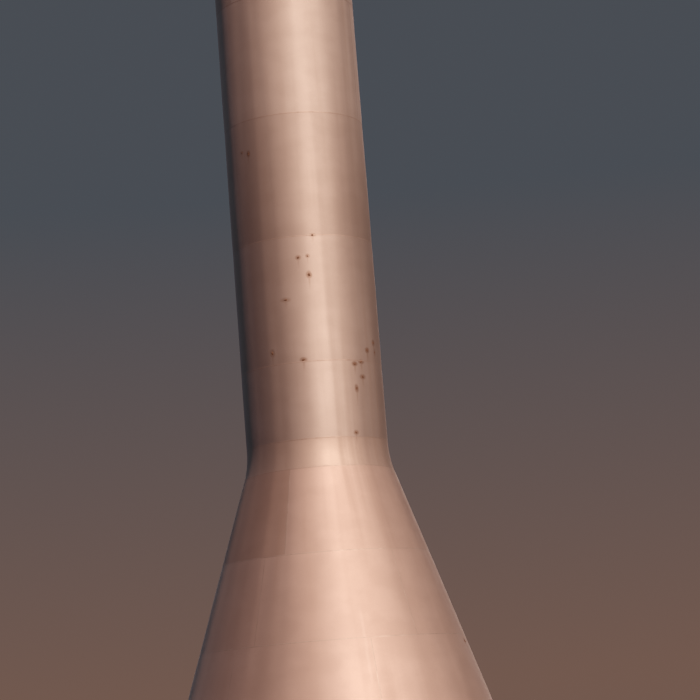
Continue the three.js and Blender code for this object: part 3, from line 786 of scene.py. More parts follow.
shell("knuckle_plate", "bell_knuckle", k_pts, 0.013, paint("knuckle_paint", gloss=0.72, tone=0.975, dirt=0.12, rust=0.3, marks=marks_for(Z_KNUCKLE, Z_SHAFT)), [rad(-8), rad(172)], wave=0.6, weld=WELDS)


# shaft
def manway_tool():
    b = Build(); b.rod((0.5, 0, MANWAY_Z), (1, 0, 0), MANWAY_R - 0.003, 1.6, 40)
    return b


SHAFT_UPS = [(-28, 152), (22, 202), (-148, 32), (-20, 160), (40, 220), (-160, 20), (28, 208)]
for i in range(7):
    z0, z1 = SHAFT_SEAMS[i], SHAFT_SEAMS[i + 1] - 0.0003
    pts = rows(z0, z1, 0.13, skin)
    ups = [rad(a) for a in SHAFT_UPS[i]]
    # a ramp by height from 11 m to 15.5 m: darker paint below, lighter and rougher paint above
    mat = paint(f"shaft_paint_{i + 1}", tint=(1, 1.025, 1.04), dirt=0.09, rust=0.25, marks=marks_for(z0, z1), height_ramp=(11.0, 15.5, 0.91, 0.055))
    shell(f"shaft_plate_{i + 1}", f"shaft_course_{i + 1}", pts, 0.011, mat, ups, cut=[manway_tool()] if i == 6 else None, weld=WELDS)
piece("pedestal_welds", WELDS.mesh("pedestal_welds", 60), M_BEAD)

# flare
HEAD = Build()
f_pts = [(flare(Z_FLARE + (FLARE_ARC_TOP - Z_FLARE) * i / 22), Z_FLARE + (FLARE_ARC_TOP - Z_FLARE) * i / 22) for i in range(23)]
M_HEAD = paint("head_paint", tint=(1, 1.025, 1.04), tone=1.03, dirt=0.20, rust=0.35, gloss=0.74)
shell("flare_plate", "flare_knuckle", f_pts, 0.014, M_HEAD, [rad(a) for a in (10, 70, 130, 190, 250, 310)], wave=0.7,
      weld=HEAD, ring=(0.013, 0.0020))
# the top cone runs up to where it meets the tank
zc = FLARE_ARC_TOP + 0.0003
zt = zc
while math.hypot(flare(zt), TANK_Z - zt) > TANK_R - 0.003:
    zt += 0.002
c_pts = [(flare(zc + (zt - zc) * i / 8), zc + (zt - zc) * i / 8) for i in range(9)]
shell("cone_plate", "flare_cone", c_pts, 0.014, M_HEAD, [rad(a) for a in (40, 100, 160, 220, 280, 340)], wave=0.7, end_dip=(1, 0),
      weld=HEAD, top=False)
bead_ring(HEAD, flare(zt) + 0.004, zt - 0.002, math.cos(FA), -math.sin(FA), 0.022, 0.010)

# tank
M_TANK = paint("tank_paint", tint=(1, 1.025, 1.04), tone=1.02, dirt=0.20, rust=0.3, wash=0.17, radius=4.0, gloss=0.74)
TANK_SEG = 216
CENTRE_R = 0.9          # the round centre plates of the bowl and roof
NAMES = ["tank_bottom_bowl", "tank_lower_zone", "tank_equator_zone", "tank_upper_zone", "tank_roof"]
PETALS = [(8, 10), (12, 0), (12, 15), (12, 0), (8, 10)]
T_TANK = [0.013, 0.012, 0.011, 0.010, 0.008]
ROOF = [("access_hatch", 0.0, 0, 0.380, 0.170), ("tank_manhole", 1.35, 215, 0.305, 0.170), ("tank_vent", 1.25, 35, 0.220, 0.330)]


def ball(a):
    s = 0.0 if a in (0, 180) else math.sin(rad(a))
    return (TANK_R * s, TANK_Z - TANK_R * math.cos(rad(a)))


for k in range(5):
    a0, a1 = TANK_JOINTS[k], TANK_JOINTS[k + 1]
    n = int((a1 - a0) / 1.8)
    angs = [a0 + (a1 - a0) * i / n for i in range(n + 1)]
    near = [0.25, 0.6, 1.1]
    angs += [a0 + q for q in near if a0 > 0] + [a1 - q for q in near if a1 < 180]
    if k in (0, 4):
        edge = math.degrees(math.asin(CENTRE_R / TANK_R))
        angs = [q for q in angs if abs(q - edge) > 0.6 and abs(180 - q - edge) > 0.6]
        angs += [edge + q if k == 0 else 180 - edge - q for q in (-0.9, -0.3, 0, 0.3, 0.9)]
    angs = sorted(set(round(q, 4) for q in angs))
    pts = [ball(q) for q in angs]
    count, first = PETALS[k]
    ups = [rad(first + 360 / count * i) % TAU for i in range(count)]
    cut = None
    if k == 4:
        cut = []
        for _, r, deg, bore, high in ROOF:
            # 37 sides and a hair off centre, so that no corner of the hole falls on a line of the roof's own mesh
            b = Build(); b.rod((r * math.cos(rad(deg)) + 0.0009, r * math.sin(rad(deg)) + 0.0005, TANK_Z + 3.5), (0, 0, 1), bore - 0.003, 3.0, 37); cut.append(b)
    shell(NAMES[k] + "_plate", NAMES[k], pts, T_TANK[k], M_TANK, ups, seg=TANK_SEG, wave=1.6, cut=cut, weld=HEAD,
          ring=(0.012, 0.0024), upright=(0.012, 0.0020), top=k < 4, inner=CENTRE_R if k in (0, 4) else 0.0)
piece("tank_welds", HEAD.mesh("tank_welds", 60), M_BEAD)

# -------------------------------------------------------------- foundation
b = Build()
prof = [(PLINTH_IN, 0.0), (PLINTH_OUT, 0.0), (PLINTH_OUT, 0.06), (PLINTH_OUT, 0.12), (PLINTH_OUT, PLINTH_H - 0.028), (PLINTH_OUT - 0.006, PLINTH_H - 0.012),
        (PLINTH_OUT - 0.018, PLINTH_H - 0.003), (PLINTH_OUT - 0.03, PLINTH_H), (PLINTH_OUT - 0.09, PLINTH_H - 0.0004), (PLINTH_IN + 0.2, PLINTH_H), (PLINTH_IN + 0.03, PLINTH_H), (PLINTH_IN, PLINTH_H - 0.03)]
b.spin(prof, 240, close=True)
me = b.mesh("concrete_ring", 50)
co = np.array([v.co for v in me.vertices])
r = np.hypot(co[:, 0], co[:, 1]); out = r > PLINTH_OUT - 0.1
wob = 0.003 * PANEL(co * 1.7) + 0.002 * FLATS(co * 2.0)
ang = np.arctan2(co[:, 1], co[:, 0])
joint = np.zeros(len(co))
for i in range(12):
    a = (ang - TAU * (i + 0.35) / 12 + math.pi) % TAU - math.pi
    joint += np.exp(-((a * r) / 0.03) ** 2)
push = np.where(out, np.clip(wob, -0.006, 0.0) - 0.004 * joint, 0)
co[:, 0] *= 1 + push / r; co[:, 1] *= 1 + push / r
for v, q in zip(me.vertices, co):
    v.co = q
piece("concrete_ring", me, M_CONC, "foundation_ring")

b = Build()
c = 0.003
b.spin([(BASE_IN, PLINTH_H + 0.0003), (BASE_OUT - c, PLINTH_H + 0.0003), (BASE_OUT, PLINTH_H + c), (BASE_OUT, PLINTH_H + BASE_T - c), (BASE_OUT - c, PLINTH_H + BASE_T), (BASE_IN + c, PLINTH_H + BASE_T), (BASE_IN, PLINTH_H + BASE_T - c)], SHELL_SEG, close=True)
piece("base_ring", b.mesh("base_ring", 30), M_FOOT, replaces="base_plate")

# anchor chairs, left out across the door
b, bolts = Build(), Build()
z0, z1, edge = Z_BELL, Z_BELL + CHAIR_H, BASE_OUT - 0.02
gap = math.asin((DOOR_W / 2 + 0.13) / 3.66)
arc = [gap + (TAU - 2 * gap) * i / 150 for i in range(151)]
sect = [(skin(z1 - 0.024) - 0.004, z1 - 0.024), (edge - 0.002, z1 - 0.024), (edge, z1 - 0.022), (edge, z1 - 0.002), (edge - 0.002, z1), (skin(z1) - 0.004, z1)]
v = [(r * math.cos(a), r * math.sin(a), z) for a in arc for r, z in sect]
m = len(sect)
f = [(i * m + j, i * m + (j + 1) % m, (i + 1) * m + (j + 1) % m, (i + 1) * m + j) for i in range(150) for j in range(m)]
f += [tuple(range(m)), tuple(150 * m + j for j in range(m))]
b.add(v, f)
for i in range(CHAIRS):
    deg = 360 / CHAIRS * (i + 0.5)
    off = abs((deg + 180) % 360 - 180)
    blocked = off < math.degrees(gap) + 1
    for y in (-0.062, 0.062):
        at = turned(deg) @ moved(0, y, 0)
        q = [(skin(z0) - 0.004, z0), (edge - 0.012, z0), (edge - 0.012, z0 + 0.05), (edge - 0.014, z1 - 0.022), (skin(z1 - 0.022) - 0.004, z1 - 0.022)]
        v = [(r, s * w, z) for s, w in ((-1, 0.008), (1, 0.008)) for r, z in q]
        n = len(q)
        f = [tuple(range(n)), tuple(range(n, 2 * n))] + [(j, (j + 1) % n, n + (j + 1) % n, n + j) for j in range(n)]
        world = at[:3, :3] @ np.array((3.7, 0, 0)) + at[:3, 3]
        if abs(world[1]) < DOOR_W / 2 + 0.14 and world[0] > 0:
            continue
        b.add(v, f, at)
    if not blocked:
        mid = (skin(z1) + edge) / 2 + 0.004
        p = turned(deg)[:3, :3] @ np.array((mid, 0, z1))
        bolts.box(-0.045, 0.045, -0.045, 0.045, -0.001, 0.016, 0.002, moved(*p) @ turned(deg))
        bolts.bolt(p + np.array((0, 0, 0.016)), (0, 0, 1), 0.036, stud=1.5)
        q = p.copy(); q[2] = z0 - 0.001
        bolts.rod(q, (0, 0, 1), 0.0175, CHAIR_H - 0.02, 12)
piece("anchor_ring_chairs", b.mesh("anchor_ring_chairs", 30), M_FOOT, replaces="anchor_chairs")
piece("anchor_bolts", bolts.mesh("anchor_bolts", 30), paint("bolt_paint", dirt=0.8, rust=1.6, foot=True, plates=False))
b = Build()
bead_ring(b, skin(Z_BELL + 0.006) + 0.002, Z_BELL + 0.008, 0.8, 0.6, 0.012, 0.009)
piece("foot_weld", b.mesh("foot_weld", 60), M_FOOT)

# --------------------------------------------------------------- base door
h = DOOR_W / 2
b = Build()


def plate_tube(b, y0, y1, z0, z1, t, front):
    """Four plates of the surround, cut to the slope of the bell at the back."""
    def back(z):
        return skin(z) - 0.055
    for ya, yb in ((y0, y0 + t), (y1 - t, y1)):
        q = [(back(z0), z0), (front, z0), (front, z1), (back(z1), z1)]
        v = [(x, y, z) for y in (ya, yb) for x, z in q]
        f = [(0, 1, 2, 3), (4, 5, 6, 7), (0, 1, 5, 4), (1, 2, 6, 5), (2, 3, 7, 6), (3, 0, 4, 7)]
        b.add(v, f)
    for za, zb in ((z0, z0 + t), (z1 - t, z1)):
        b.box(back((za + zb) / 2), front, y0 + t - 0.001, y1 - t + 0.001, za, zb, 0.0015)


plate_tube(b, -h, h, DOOR_Z0, DOOR_Z1, DOOR_T, DOOR_FACE)
xs = DOOR_FACE - 0.095
for ya, yb in ((-h + 0.005, -h + 0.055), (h - 0.055, h - 0.005)):
    b.box(xs, xs + 0.010, ya, yb, DOOR_Z0 + 0.005, DOOR_Z1 - 0.005, 0.0015)
for za, zb in ((DOOR_Z0 + 0.005, DOOR_Z0 + 0.055), (DOOR_Z1 - 0.055, DOOR_Z1 - 0.005)):
    b.box(xs, xs + 0.010, -h + 0.05, h - 0.05, za, zb, 0.0015)
# drip hood
b.box(DOOR_FACE - 0.02, DOOR_FACE + 0.069, -h - 0.04, h + 0.04, DOOR_Z1 - 0.0095, DOOR_Z1 - 0.0005, 0.0015)
piece("door_frame_plates", b.mesh("door_frame_plates", 30), M_FOOT, replaces="door_surround")
# the fillet weld round the surround, lying on the bell
b = Build()
for y in (-h - 0.004, h + 0.004):
    path = [(math.sqrt(max(0, skin(z) ** 2 - y * y)) + 0.001, y, z) for z in np.linspace(DOOR_Z0, DOOR_Z1, 30)]
    b.tube(path, 0.011, 8)
z = DOOR_Z1 + 0.004
b.tube([(math.sqrt(skin(z) ** 2 - y * y) + 0.001, y, z) for y in np.linspace(-h, h, 24)], 0.011, 8)
piece("door_weld", b.mesh("door_weld", 60), M_FOOT)
b = Build()
lw, lz0, lz1, lx = h - DOOR_T - 0.004, DOOR_Z0 + DOOR_T + 0.004, DOOR_Z1 - DOOR_T - 0.004, xs + 0.0103
b.box(lx, lx + 0.038, -lw, lw, lz0, lz1, 0.003)
# pressed stiffening frame on the face, and a cross rail at lock height
for y0, y1, a, c in ((-lw + 0.012, -lw + 0.072, lz0 + 0.012, lz1 - 0.012), (lw - 0.072, lw - 0.012, lz0 + 0.012, lz1 - 0.012)):
    b.box(lx + 0.036, lx + 0.045, y0, y1, a, c, 0.003)
for a, c in ((lz0 + 0.012, lz0 + 0.072), (lz1 - 0.072, lz1 - 0.012), (1.10, 1.16)):
    b.box(lx + 0.036, lx + 0.0448, -lw + 0.07, lw - 0.07, a, c, 0.003)
for z in (lz0 + 0.22, (lz0 + lz1) / 2, lz1 - 0.22):
    for k in range(3):
        b.rod((lx + 0.055, -lw + 0.022, z - 0.06 + 0.0405 * k), (0, 0, 1), 0.0125, 0.039, 20)
    b.rod((lx + 0.055, -lw + 0.022, z - 0.066), (0, 0, 1), 0.006, 0.132, 12)
    b.box(lx + 0.044, lx + 0.050, -lw + 0.022, -lw + 0.15, z - 0.045, z + 0.045, 0.0015)
    for yy in (0.075, 0.125):
        for zz in (-0.026, 0.026):
            b.bolt((lx + 0.0495, -lw + yy, z + zz), (1, 0, 0), 0.0085, stud=0.3)
piece("door_panel", b.mesh("door_panel", 30), M_FOOT, replaces="door_leaf")
b = Build()
hx, hz, hy = lx + 0.0453, 1.33, lw - 0.095
b.box(hx, hx + 0.008, hy - 0.026, hy + 0.026, hz - 0.12, hz + 0.11, 0.002)
b.rod((hx, hy, hz), (1, 0, 0), 0.013, 0.05, 20)
b.tube([(hx + 0.046, hy + 0.008, hz), (hx + 0.046, hy - 0.03, hz), (hx + 0.046, hy - 0.10, hz - 0.001), (hx + 0.044, hy - 0.128, hz - 0.003), (hx + 0.036, hy - 0.138, hz - 0.004)], 0.0095, 14)
b.rod((hx + 0.006, hy, hz - 0.075), (1, 0, 0), 0.017, 0.010, 24)
b.box(hx + 0.014, hx + 0.0165, hy - 0.0022, hy + 0.0022, hz - 0.085, hz - 0.066, 0.0006)
for zz in (-0.108, 0.098):
    b.rod((hx + 0.007, hy, hz + zz), (1, 0, 0), 0.006, 0.003, 12)
# closed hasp and padlock over the handle
b.box(hx, hx + 0.006, hy - 0.10, hy + 0.065, hz + 0.15, hz + 0.19, 0.0015)
b.tube([(hx + 0.005, hy - 0.005, hz + 0.17), (hx + 0.03, hy - 0.005, hz + 0.172), (hx + 0.037, hy - 0.005, hz + 0.155), (hx + 0.037, hy - 0.005, hz + 0.135)], 0.0035, 10)
b.box(hx + 0.022, hx + 0.046, hy - 0.028, hy + 0.018, hz + 0.098, hz + 0.138, 0.004)
piece("door_lever", b.mesh("door_lever", 30), M_ZINC, "door_handle")

# ---------------------------------------------------------------- overflow
b = Build()
z, bend, R = 1.15, 0.23, 0.1095
xi, xo = 3.15, 4.17
path = [(-xi, 0, z), (-(xi + 0.3), 0, z), (-(xo - bend), 0, z)]
for i in range(1, 13):
    u = math.pi / 2 * i / 12
    path.append((-(xo - bend + bend * math.sin(u)), 0, z - bend + bend * math.cos(u)))
path += [(-xo, 0, 0.7), (-xo, 0, 0.43)]
b.tube(path, R - 0.0006, 36, bore=R - 0.008, up=(0, 1, 0))
b.spin([(R - 0.006, 0.43), (R + 0.048, 0.43), (R + 0.05, 0.432), (R + 0.05, 0.444), (R + 0.048, 0.446), (R - 0.006, 0.446)], 40, moved(-xo, 0, 0), close=True)
for q in ((-(xo - bend), 0, z, 1, 0), (-xo, 0, z - bend, 0, 1)):
    n = (-1, 0, 0) if q[3] else (0, 0, 1)
    b.spin([(R - 0.004, -0.007), (R + 0.0005, -0.007), (R + 0.0022, 0), (R + 0.0005, 0.007), (R - 0.004, 0.007)], 36, face_frame(q[:3], n), close=True)
# weld and reinforcing pad where it leaves the bell
v, f = [], []
for rr, lift in ((0.106, 0.012), (0.197, 0.012), (0.200, 0.010), (0.200, -0.01), (0.106, -0.01)):
    for i in range(48):
        a = TAU * i / 48
        y, zz = rr * math.cos(a), z + rr * math.sin(a)
        x = -(math.sqrt(skin(zz) ** 2 - y * y) + lift / math.cos(HALF))
        v.append((x, y, zz))
for j in range(5):
    for i in range(48):
        f.append((j * 48 + i, j * 48 + (i + 1) % 48, ((j + 1) % 5) * 48 + (i + 1) % 48, ((j + 1) % 5) * 48 + i))
b.add(v, f)
weld = []
for i in range(49):
    a = TAU * i / 48
    y, zz = (R + 0.003) * math.cos(a), z + (R + 0.003) * math.sin(a)
    weld.append((-(math.sqrt(skin(zz) ** 2 - y * y) + 0.014), y, zz))
b.tube(weld[:-1], 0.008, 8, closed=True)
for i in range(8):
    a = TAU * (i + 0.5) / 8
    p = (-xo + (R + 0.028) * math.cos(a), (R + 0.028) * math.sin(a), 0.446)
    b.bolt(p, (0, 0, 1), 0.011)
piece("overflow_elbow", b.mesh("overflow_elbow", 35), M_FOOT, replaces="overflow_pipe")
b = Build()
b.spin([(0, 0.4165), (R + 0.047, 0.4165), (R + 0.05, 0.4185), (R + 0.05, 0.4275), (R + 0.047, 0.4295), (0, 0.4295)], 40, moved(-xo, 0, 0))
for a in (0, 60, 120):
    b.box(-0.09, 0.09, -0.004, 0.004, 0.408, 0.418, 0.0015, moved(-xo, 0, 0) @ turned(a))
b.box(-xo - R - 0.082, -xo - R - 0.03, -0.04, 0.04, 0.4185, 0.4265, 0.0015)
b.rod((-xo - R - 0.066, -0.045, 0.4265), (0, 1, 0), 0.006, 0.09, 12)
piece("overflow_lid", b.mesh("overflow_lid", 30), M_ZINC, "overflow_flap")

# ---------------------------------------------------------- manway, rigging rail
x1 = SHAFT_R + 0.15
b = Build()
at = face_frame((0, 0, MANWAY_Z), (1, 0, 0))
b.spin([(MANWAY_R - 0.010, 1.342), (MANWAY_R, 1.342), (MANWAY_R, x1 - 0.016), (MANWAY_R + 0.058, x1 - 0.014), (MANWAY_R + 0.06, x1 - 0.012), (MANWAY_R + 0.06, x1 - 0.002), (MANWAY_R + 0.058, x1), (MANWAY_R - 0.010, x1)], 56, at, close=True)
w = []
for i in range(56):
    a = TAU * i / 56
    y, zz = (MANWAY_R + 0.002) * math.cos(a), (MANWAY_R + 0.002) * math.sin(a)
    w.append((math.sqrt(SHAFT_R ** 2 - y * y) + 0.002, y, MANWAY_Z + zz))
b.tube(w, 0.009, 8, closed=True)
piece("manway_ring", b.mesh("manway_ring", 35), M_TRIM, replaces="manway_neck")
b = Build()
b.spin([(0, x1 + 0.0003), (MANWAY_R + 0.058, x1 + 0.0003), (MANWAY_R + 0.06, x1 + 0.002), (MANWAY_R + 0.06, x1 + 0.012), (MANWAY_R + 0.058, x1 + 0.014), (0, x1 + 0.014)], 56, at)
for i in range(20):
    a = TAU * (i + 0.5) / 20
    b.bolt((x1 + 0.014, (MANWAY_R + 0.034) * math.cos(a), MANWAY_Z + (MANWAY_R + 0.034) * math.sin(a)), (1, 0, 0), 0.012)
    b.bolt((x1 - 0.015, (MANWAY_R + 0.034) * math.cos(a), MANWAY_Z + (MANWAY_R + 0.034) * math.sin(a)), (-1, 0, 0), 0.012)
b.tube([(x1 + 0.010, -0.08, MANWAY_Z), (x1 + 0.045, -0.08, MANWAY_Z), (x1 + 0.056, -0.066, MANWAY_Z), (x1 + 0.056, 0.066, MANWAY_Z), (x1 + 0.045, 0.08, MANWAY_Z), (x1 + 0.010, 0.08, MANWAY_Z)], 0.0075, 12)
piece("manway_lid", b.mesh("manway_lid", 30), M_TRIM, replaces="manway_cover")
b = Build()
z = 23.18
b.spin([(SHAFT_R + 0.105, z + 0.001), (SHAFT_R + 0.106, z), (SHAFT_R + 0.116, z), (SHAFT_R + 0.117, z + 0.001), (SHAFT_R + 0.117, z + 0.049), (SHAFT_R + 0.116, z + 0.05), (SHAFT_R + 0.106, z + 0.05), (SHAFT_R + 0.105, z + 0.049)], 144, close=True)
for i in range(12):
    d = turned(15 + 30 * i)
    b.box(SHAFT_R - 0.006, SHAFT_R + 0.108, -0.005, 0.005, z + 0.001, z + 0.049, 0.001, d)
    # pad plate behind each lug
    b.box(SHAFT_R - 0.012, SHAFT_R + 0.006, -0.045, 0.045, z - 0.03, z + 0.08, 0.002, d)
piece("rigging_rail", b.mesh("rigging_rail", 30), M_TRIM, replaces="painters_rail")

# ------------------------------------------------------------ roof fittings
for name, r, deg, bore, high in ROOF:
    top = dome(r) + high
    zr = dome(r + bore) - 0.06
    base = turned(deg) @ moved(r, 0, 0)
    b = Build()
    b.spin([(bore - 0.009, zr), (bore, zr), (bore, top - 0.002), (bore - 0.002, top), (bore - 0.007, top), (bore - 0.009, top - 0.002)], 48, base, close=True)
    # weld where the neck meets the dome
    w = []
    for i in range(48):
        a = TAU * i / 48
        q = base @ np.array((bore * math.cos(a), bore * math.sin(a), 0, 1))
        w.append((q[0], q[1], math.sqrt(TANK_R ** 2 - q[0] ** 2 - q[1] ** 2) + TANK_Z + 0.002))
    b.tube(w, 0.009, 8, closed=True)
    piece(name + "_ring", b.mesh(name + "_ring", 35), M_TRIM, replaces=name + "_neck")
    at = turned(deg) @ moved(r, 0, top + 0.0003)
    b = Build()
    if name == "tank_vent":
        b.spin([(0, 0.150), (0.12, 0.148), (0.30, 0.102), (0.424, 0.063), (0.43, 0.058), (0.43, -0.068), (0.427, -0.07), (0.424, -0.068), (0.422, 0.050), (0.12, 0.138), (0, 0.14)], 48, at)
        b.spin([(bore - 0.034, 0), (bore + 0.03, 0), (bore + 0.03, 0.01), (bore - 0.034, 0.01)], 40, at, close=True)
        for i in range(4):
            b.box(bore - 0.006, bore + 0.002, -0.014, 0.014, 0.004, 0.122, 0.001, at @ turned(45 + 90 * i))
        # insect screen: fine bars up and round the throat
        for i in range(96):
            q = at @ turned(3.75 * i)
            b.box(bore - 0.022, bore - 0.0205, -0.0008, 0.0008, 0.006, 0.118, 0.0002, q)
        for i in range(12):
            zz = 0.012 + 0.009 * i
            b.spin([(bore - 0.0222, zz - 0.0007), (bore - 0.0205, zz - 0.0007), (bore - 0.0205, zz + 0.0007), (bore - 0.0222, zz + 0.0007)], 48, at, close=True)
        piece("tank_vent_hood", b.mesh("tank_vent_hood", 30), M_TRIM, replaces="tank_vent_cap")
    else:
        RR = bore + 0.042
        if deg == 0 and r == 0:
            at = at @ turned(90)
        b.spin([(0, 0.062), (RR * 0.25, 0.0605), (RR * 0.5, 0.054), (RR * 0.78, 0.040), (RR - 0.006, 0.026), (RR, 0.020), (RR, -0.044), (RR - 0.002, -0.045), (RR - 0.006, -0.045), (RR - 0.007, -0.043), (RR - 0.007, 0.012), (RR * 0.5, 0.0005), (0, 0.0005)], 56, at)
        hp = [(-0.101, 0, 0.05), (-0.101, 0, 0.095), (-0.09, 0, 0.111), (0.09, 0, 0.111), (0.101, 0, 0.095), (0.101, 0, 0.05)]
        hp = [tuple((at @ np.array((*q, 1)))[:3]) for q in hp]
        b.tube(hp, 0.008, 12, up=(0.3, 0.9, 0.2))
        b.box(RR - 0.01, RR + 0.044, -0.118, 0.118, 0.0035, 0.012, 0.0015, at)
        for yy in (-0.095, -0.032, 0.032, 0.095):
            q = at @ np.array((RR + 0.034, yy - 0.02, 0.006, 1))
            b.rod(q[:3], (at @ np.array((0, 1, 0, 0)))[:3], 0.009, 0.04, 14)
        b.box(-RR - 0.04, -RR + 0.004, -0.022, 0.022, -0.006, 0.001, 0.0015, at)
        q = at @ np.array((-RR - 0.024, 0, -0.016, 1))
        b.rod(q[:3], (0, 0, 1), 0.007, 0.028, 12)
        piece(name + "_lid", b.mesh(name + "_lid", 30), M_TRIM, replaces=name + "_cover")

# railing
R = 2.35
zd = dome(R)
for q in range(4):
    b = Build()
    a0, a1 = TAU / 4 * q + 0.0001, TAU / 4 * (q + 1) - 0.0001
    for zz, rr in ((zd + 1.08, 0.0213), (zd + 0.59, 0.0165), (zd + 0.16, 0.0165)):
        b.tube([(R * math.cos(a0 + (a1 - a0) * i / 30), R * math.sin(a0 + (a1 - a0) * i / 30), zz) for i in range(31)], rr, 14)
    for i in range(3):
        deg = 90 * q + 7.5 + 37.5 * i
        rp = R * math.cos(rad(7.5))
        p = turned(deg)[:3, :3] @ np.array((rp + 0.002, 0, 0))
        zb = math.sqrt(TANK_R ** 2 - rp ** 2) + TANK_Z
        b.rod((p[0], p[1], zb - 0.01), (0, 0, 1), 0.0195, zd + 1.08 - zb, 18)
        # shoe plate
        tilt = math.asin(rp / TANK_R)
        n = (turned(deg)[:3, :3] @ np.array((math.sin(tilt), 0, math.cos(tilt))))
        fr = face_frame((p[0], p[1], zb + 0.002), n, (0, 0, 1))
        b.box(-0.05, 0.05, -0.05, 0.05, -0.006, 0.006, 0.002, fr)
    piece(f"railing_{q + 1}", b.mesh(f"railing_{q + 1}", 35), M_TRIM, replaces=f"railing_quadrant_{q + 1}")

# obstruction light
r, deg = 0.82, 125
zd = dome(r)
px, py = r * math.cos(rad(deg)), r * math.sin(rad(deg))
b = Build()
b.box(-0.109, 0.109, -0.109, 0.109, -0.012, 0.014, 0.003, moved(px, py, zd) @ turned(deg))
for sx in (-1, 1):
    for sy in (-1, 1):
        q = moved(px, py, zd) @ turned(deg) @ np.array((0.08 * sx, 0.08 * sy, 0.014, 1))
        b.bolt(q[:3], (0, 0, 1), 0.009)
b.rod((px, py, zd - 0.02), (0, 0, 1), 0.0298, 1.198, 24)
for a in range(4):
    q = turned(deg + 45 + 90 * a)
    v = [(0.028, y, z) for y in (-0.003, 0.003) for z in (0.012, 0.10)] + [(0.085, y, 0.012) for y in (-0.003, 0.003)]
    b.add(v, [(0, 1, 4), (2, 3, 5), (0, 4, 5, 2), (1, 3, 5, 4), (0, 2, 3, 1)], moved(px, py, zd) @ q)
b.rod((px, py, zd + 1.169), (0, 0, 1), 0.0615, 0.0148, 28)
# conduit up the mast with its clips
cx, cy = px + 0.042 * math.cos(rad(deg + 90)), py + 0.042 * math.sin(rad(deg + 90))
b.tube([(cx, cy, zd - 0.01), (cx, cy, zd + 0.6), (cx, cy, zd + 1.172)], 0.0105, 12)
for zz in (0.25, 0.62, 0.99):
    b.spin([(0.0295, -0.011), (0.0312, -0.011), (0.0312, 0.011), (0.0295, 0.011)], 24, moved(px, py, zd + zz), close=True)
piece("beacon_post", b.mesh("beacon_post", 30), M_TRIM, replaces="beacon_mast")
b = Build()
z = zd + 1.1843
b.spin([(0, 0), (0.073, 0), (0.0745, 0.0015), (0.0745, 0.022), (0.070, 0.026), (0.058, 0.027), (0.057, 0.045), (0.0575, 0.060), (0.0575, 0.088), (0.055, 0.092), (0, 0.092)], 36, moved(px, py, z))
for i in range(8):
    b.box(0.054, 0.068, -0.002, 0.002, 0.024, 0.085, 0.0008, moved(px, py, z) @ turned(45 * i))
piece("beacon_socket", b.mesh("beacon_socket", 30), M_ZINC, "beacon_base")
b = Build()
prof = [(0, 0.0003), (0.061, 0.0003), (0.0705, 0.008)]
n = 11
for i in range(n):
    a = i / (n - 1)
    zz = 0.014 + 0.112 * a
    rr = 0.0748 * math.sqrt(max(0.0, 1 - max(0, (a - 0.25)) ** 2 * 0.55))
    prof += [(rr - 0.0022, zz - 0.0035), (rr, zz)]
prof += [(0.052, 0.147), (0.036, 0.163), (0.018, 0.172), (0, 0.1755)]
b.spin(prof, 36, moved(px, py, z + 0.092))
piece("beacon_glass", b.mesh("beacon_glass", 50), M_LENS, "beacon_lens")

# ------------------------------------------------------------- rust flakes
b = Build()
g = random.Random(21)
for th, zc, w, h, k, tilt in PLACED:
    W, H = w * MPP * 0.5 * (0.20 + 0.28 * k), h * MPP * 0.5 * (0.20 + 0.28 * k)
    n = 22
    ph = [g.uniform(0, TAU) for _ in range(4)]
    rim = []
    for i in range(n):
        a = TAU * i / n
        q = 1 + 0.22 * math.sin(2 * a + ph[0]) + 0.16 * math.sin(3 * a + ph[1]) + 0.12 * math.sin(5 * a + ph[2]) + 0.07 * math.sin(8 * a + ph[3])
        e, f = W * q * math.cos(a), H * q * math.sin(a)
        rim.append((e * math.cos(rad(tilt)) - f * math.sin(rad(tilt)), e * math.sin(rad(tilt)) + f * math.cos(rad(tilt))))

    def put(u, v, lift):
        z = zc + v
        r = skin(z) + lift
        a = th + u / skin(z)
        return (r * math.cos(a), r * math.sin(a), z)
    v, f = [], []
    rings = [(1.0, -0.010), (1.0, 0.0016), (0.86, 0.0040), (0.5, 0.0046), (0.2, 0.0038)]
    for s, lift in rings:
        for u, w_ in rim:
            v.append(put(u * s, w_ * s, lift + (g.uniform(-0.0008, 0.0008) if lift > 0 else 0)))
    v.append(put(0, 0, 0.0042)); v.append(put(0, 0, -0.010))
    for j in range(len(rings) - 1):
        for i in range(n):
            f.append((j * n + i, j * n + (i + 1) % n, (j + 1) * n + (i + 1) % n, (j + 1) * n + i))
    last = (len(rings) - 1) * n
    for i in range(n):
        f.append((last + i, last + (i + 1) % n, len(rings) * n))
        f.append((i, (i + 1) % n, len(rings) * n + 1))
    b.add(v, f)
piece("rust_scabs", b.mesh("rust_scabs", 45), M_RUST)

# ------------------------------------------------------------- floor and light
fm = Nodes("pale_floor")
a = fm.noise(0.05, 4, 0.5)
fm.done(fm.mix(fm.span(a, 0.3, 0.7), (0.60, 0.665, 0.70), (0.63, 0.695, 0.73)), 0.9, 0.0, spec=0.1)
me = bpy.data.meshes.new("floor")
S = 600
me.from_pydata([(-S, -S, 0), (S, -S, 0), (S, S, 0), (-S, S, 0)], [], [(0, 1, 2, 3)])
floor = bpy.data.objects.new("floor", me)
scene.collection.objects.link(floor)
me.materials.append(fm.mat)
floor.visible_diffuse = floor.visible_glossy = False      # it throws no light up at the tower


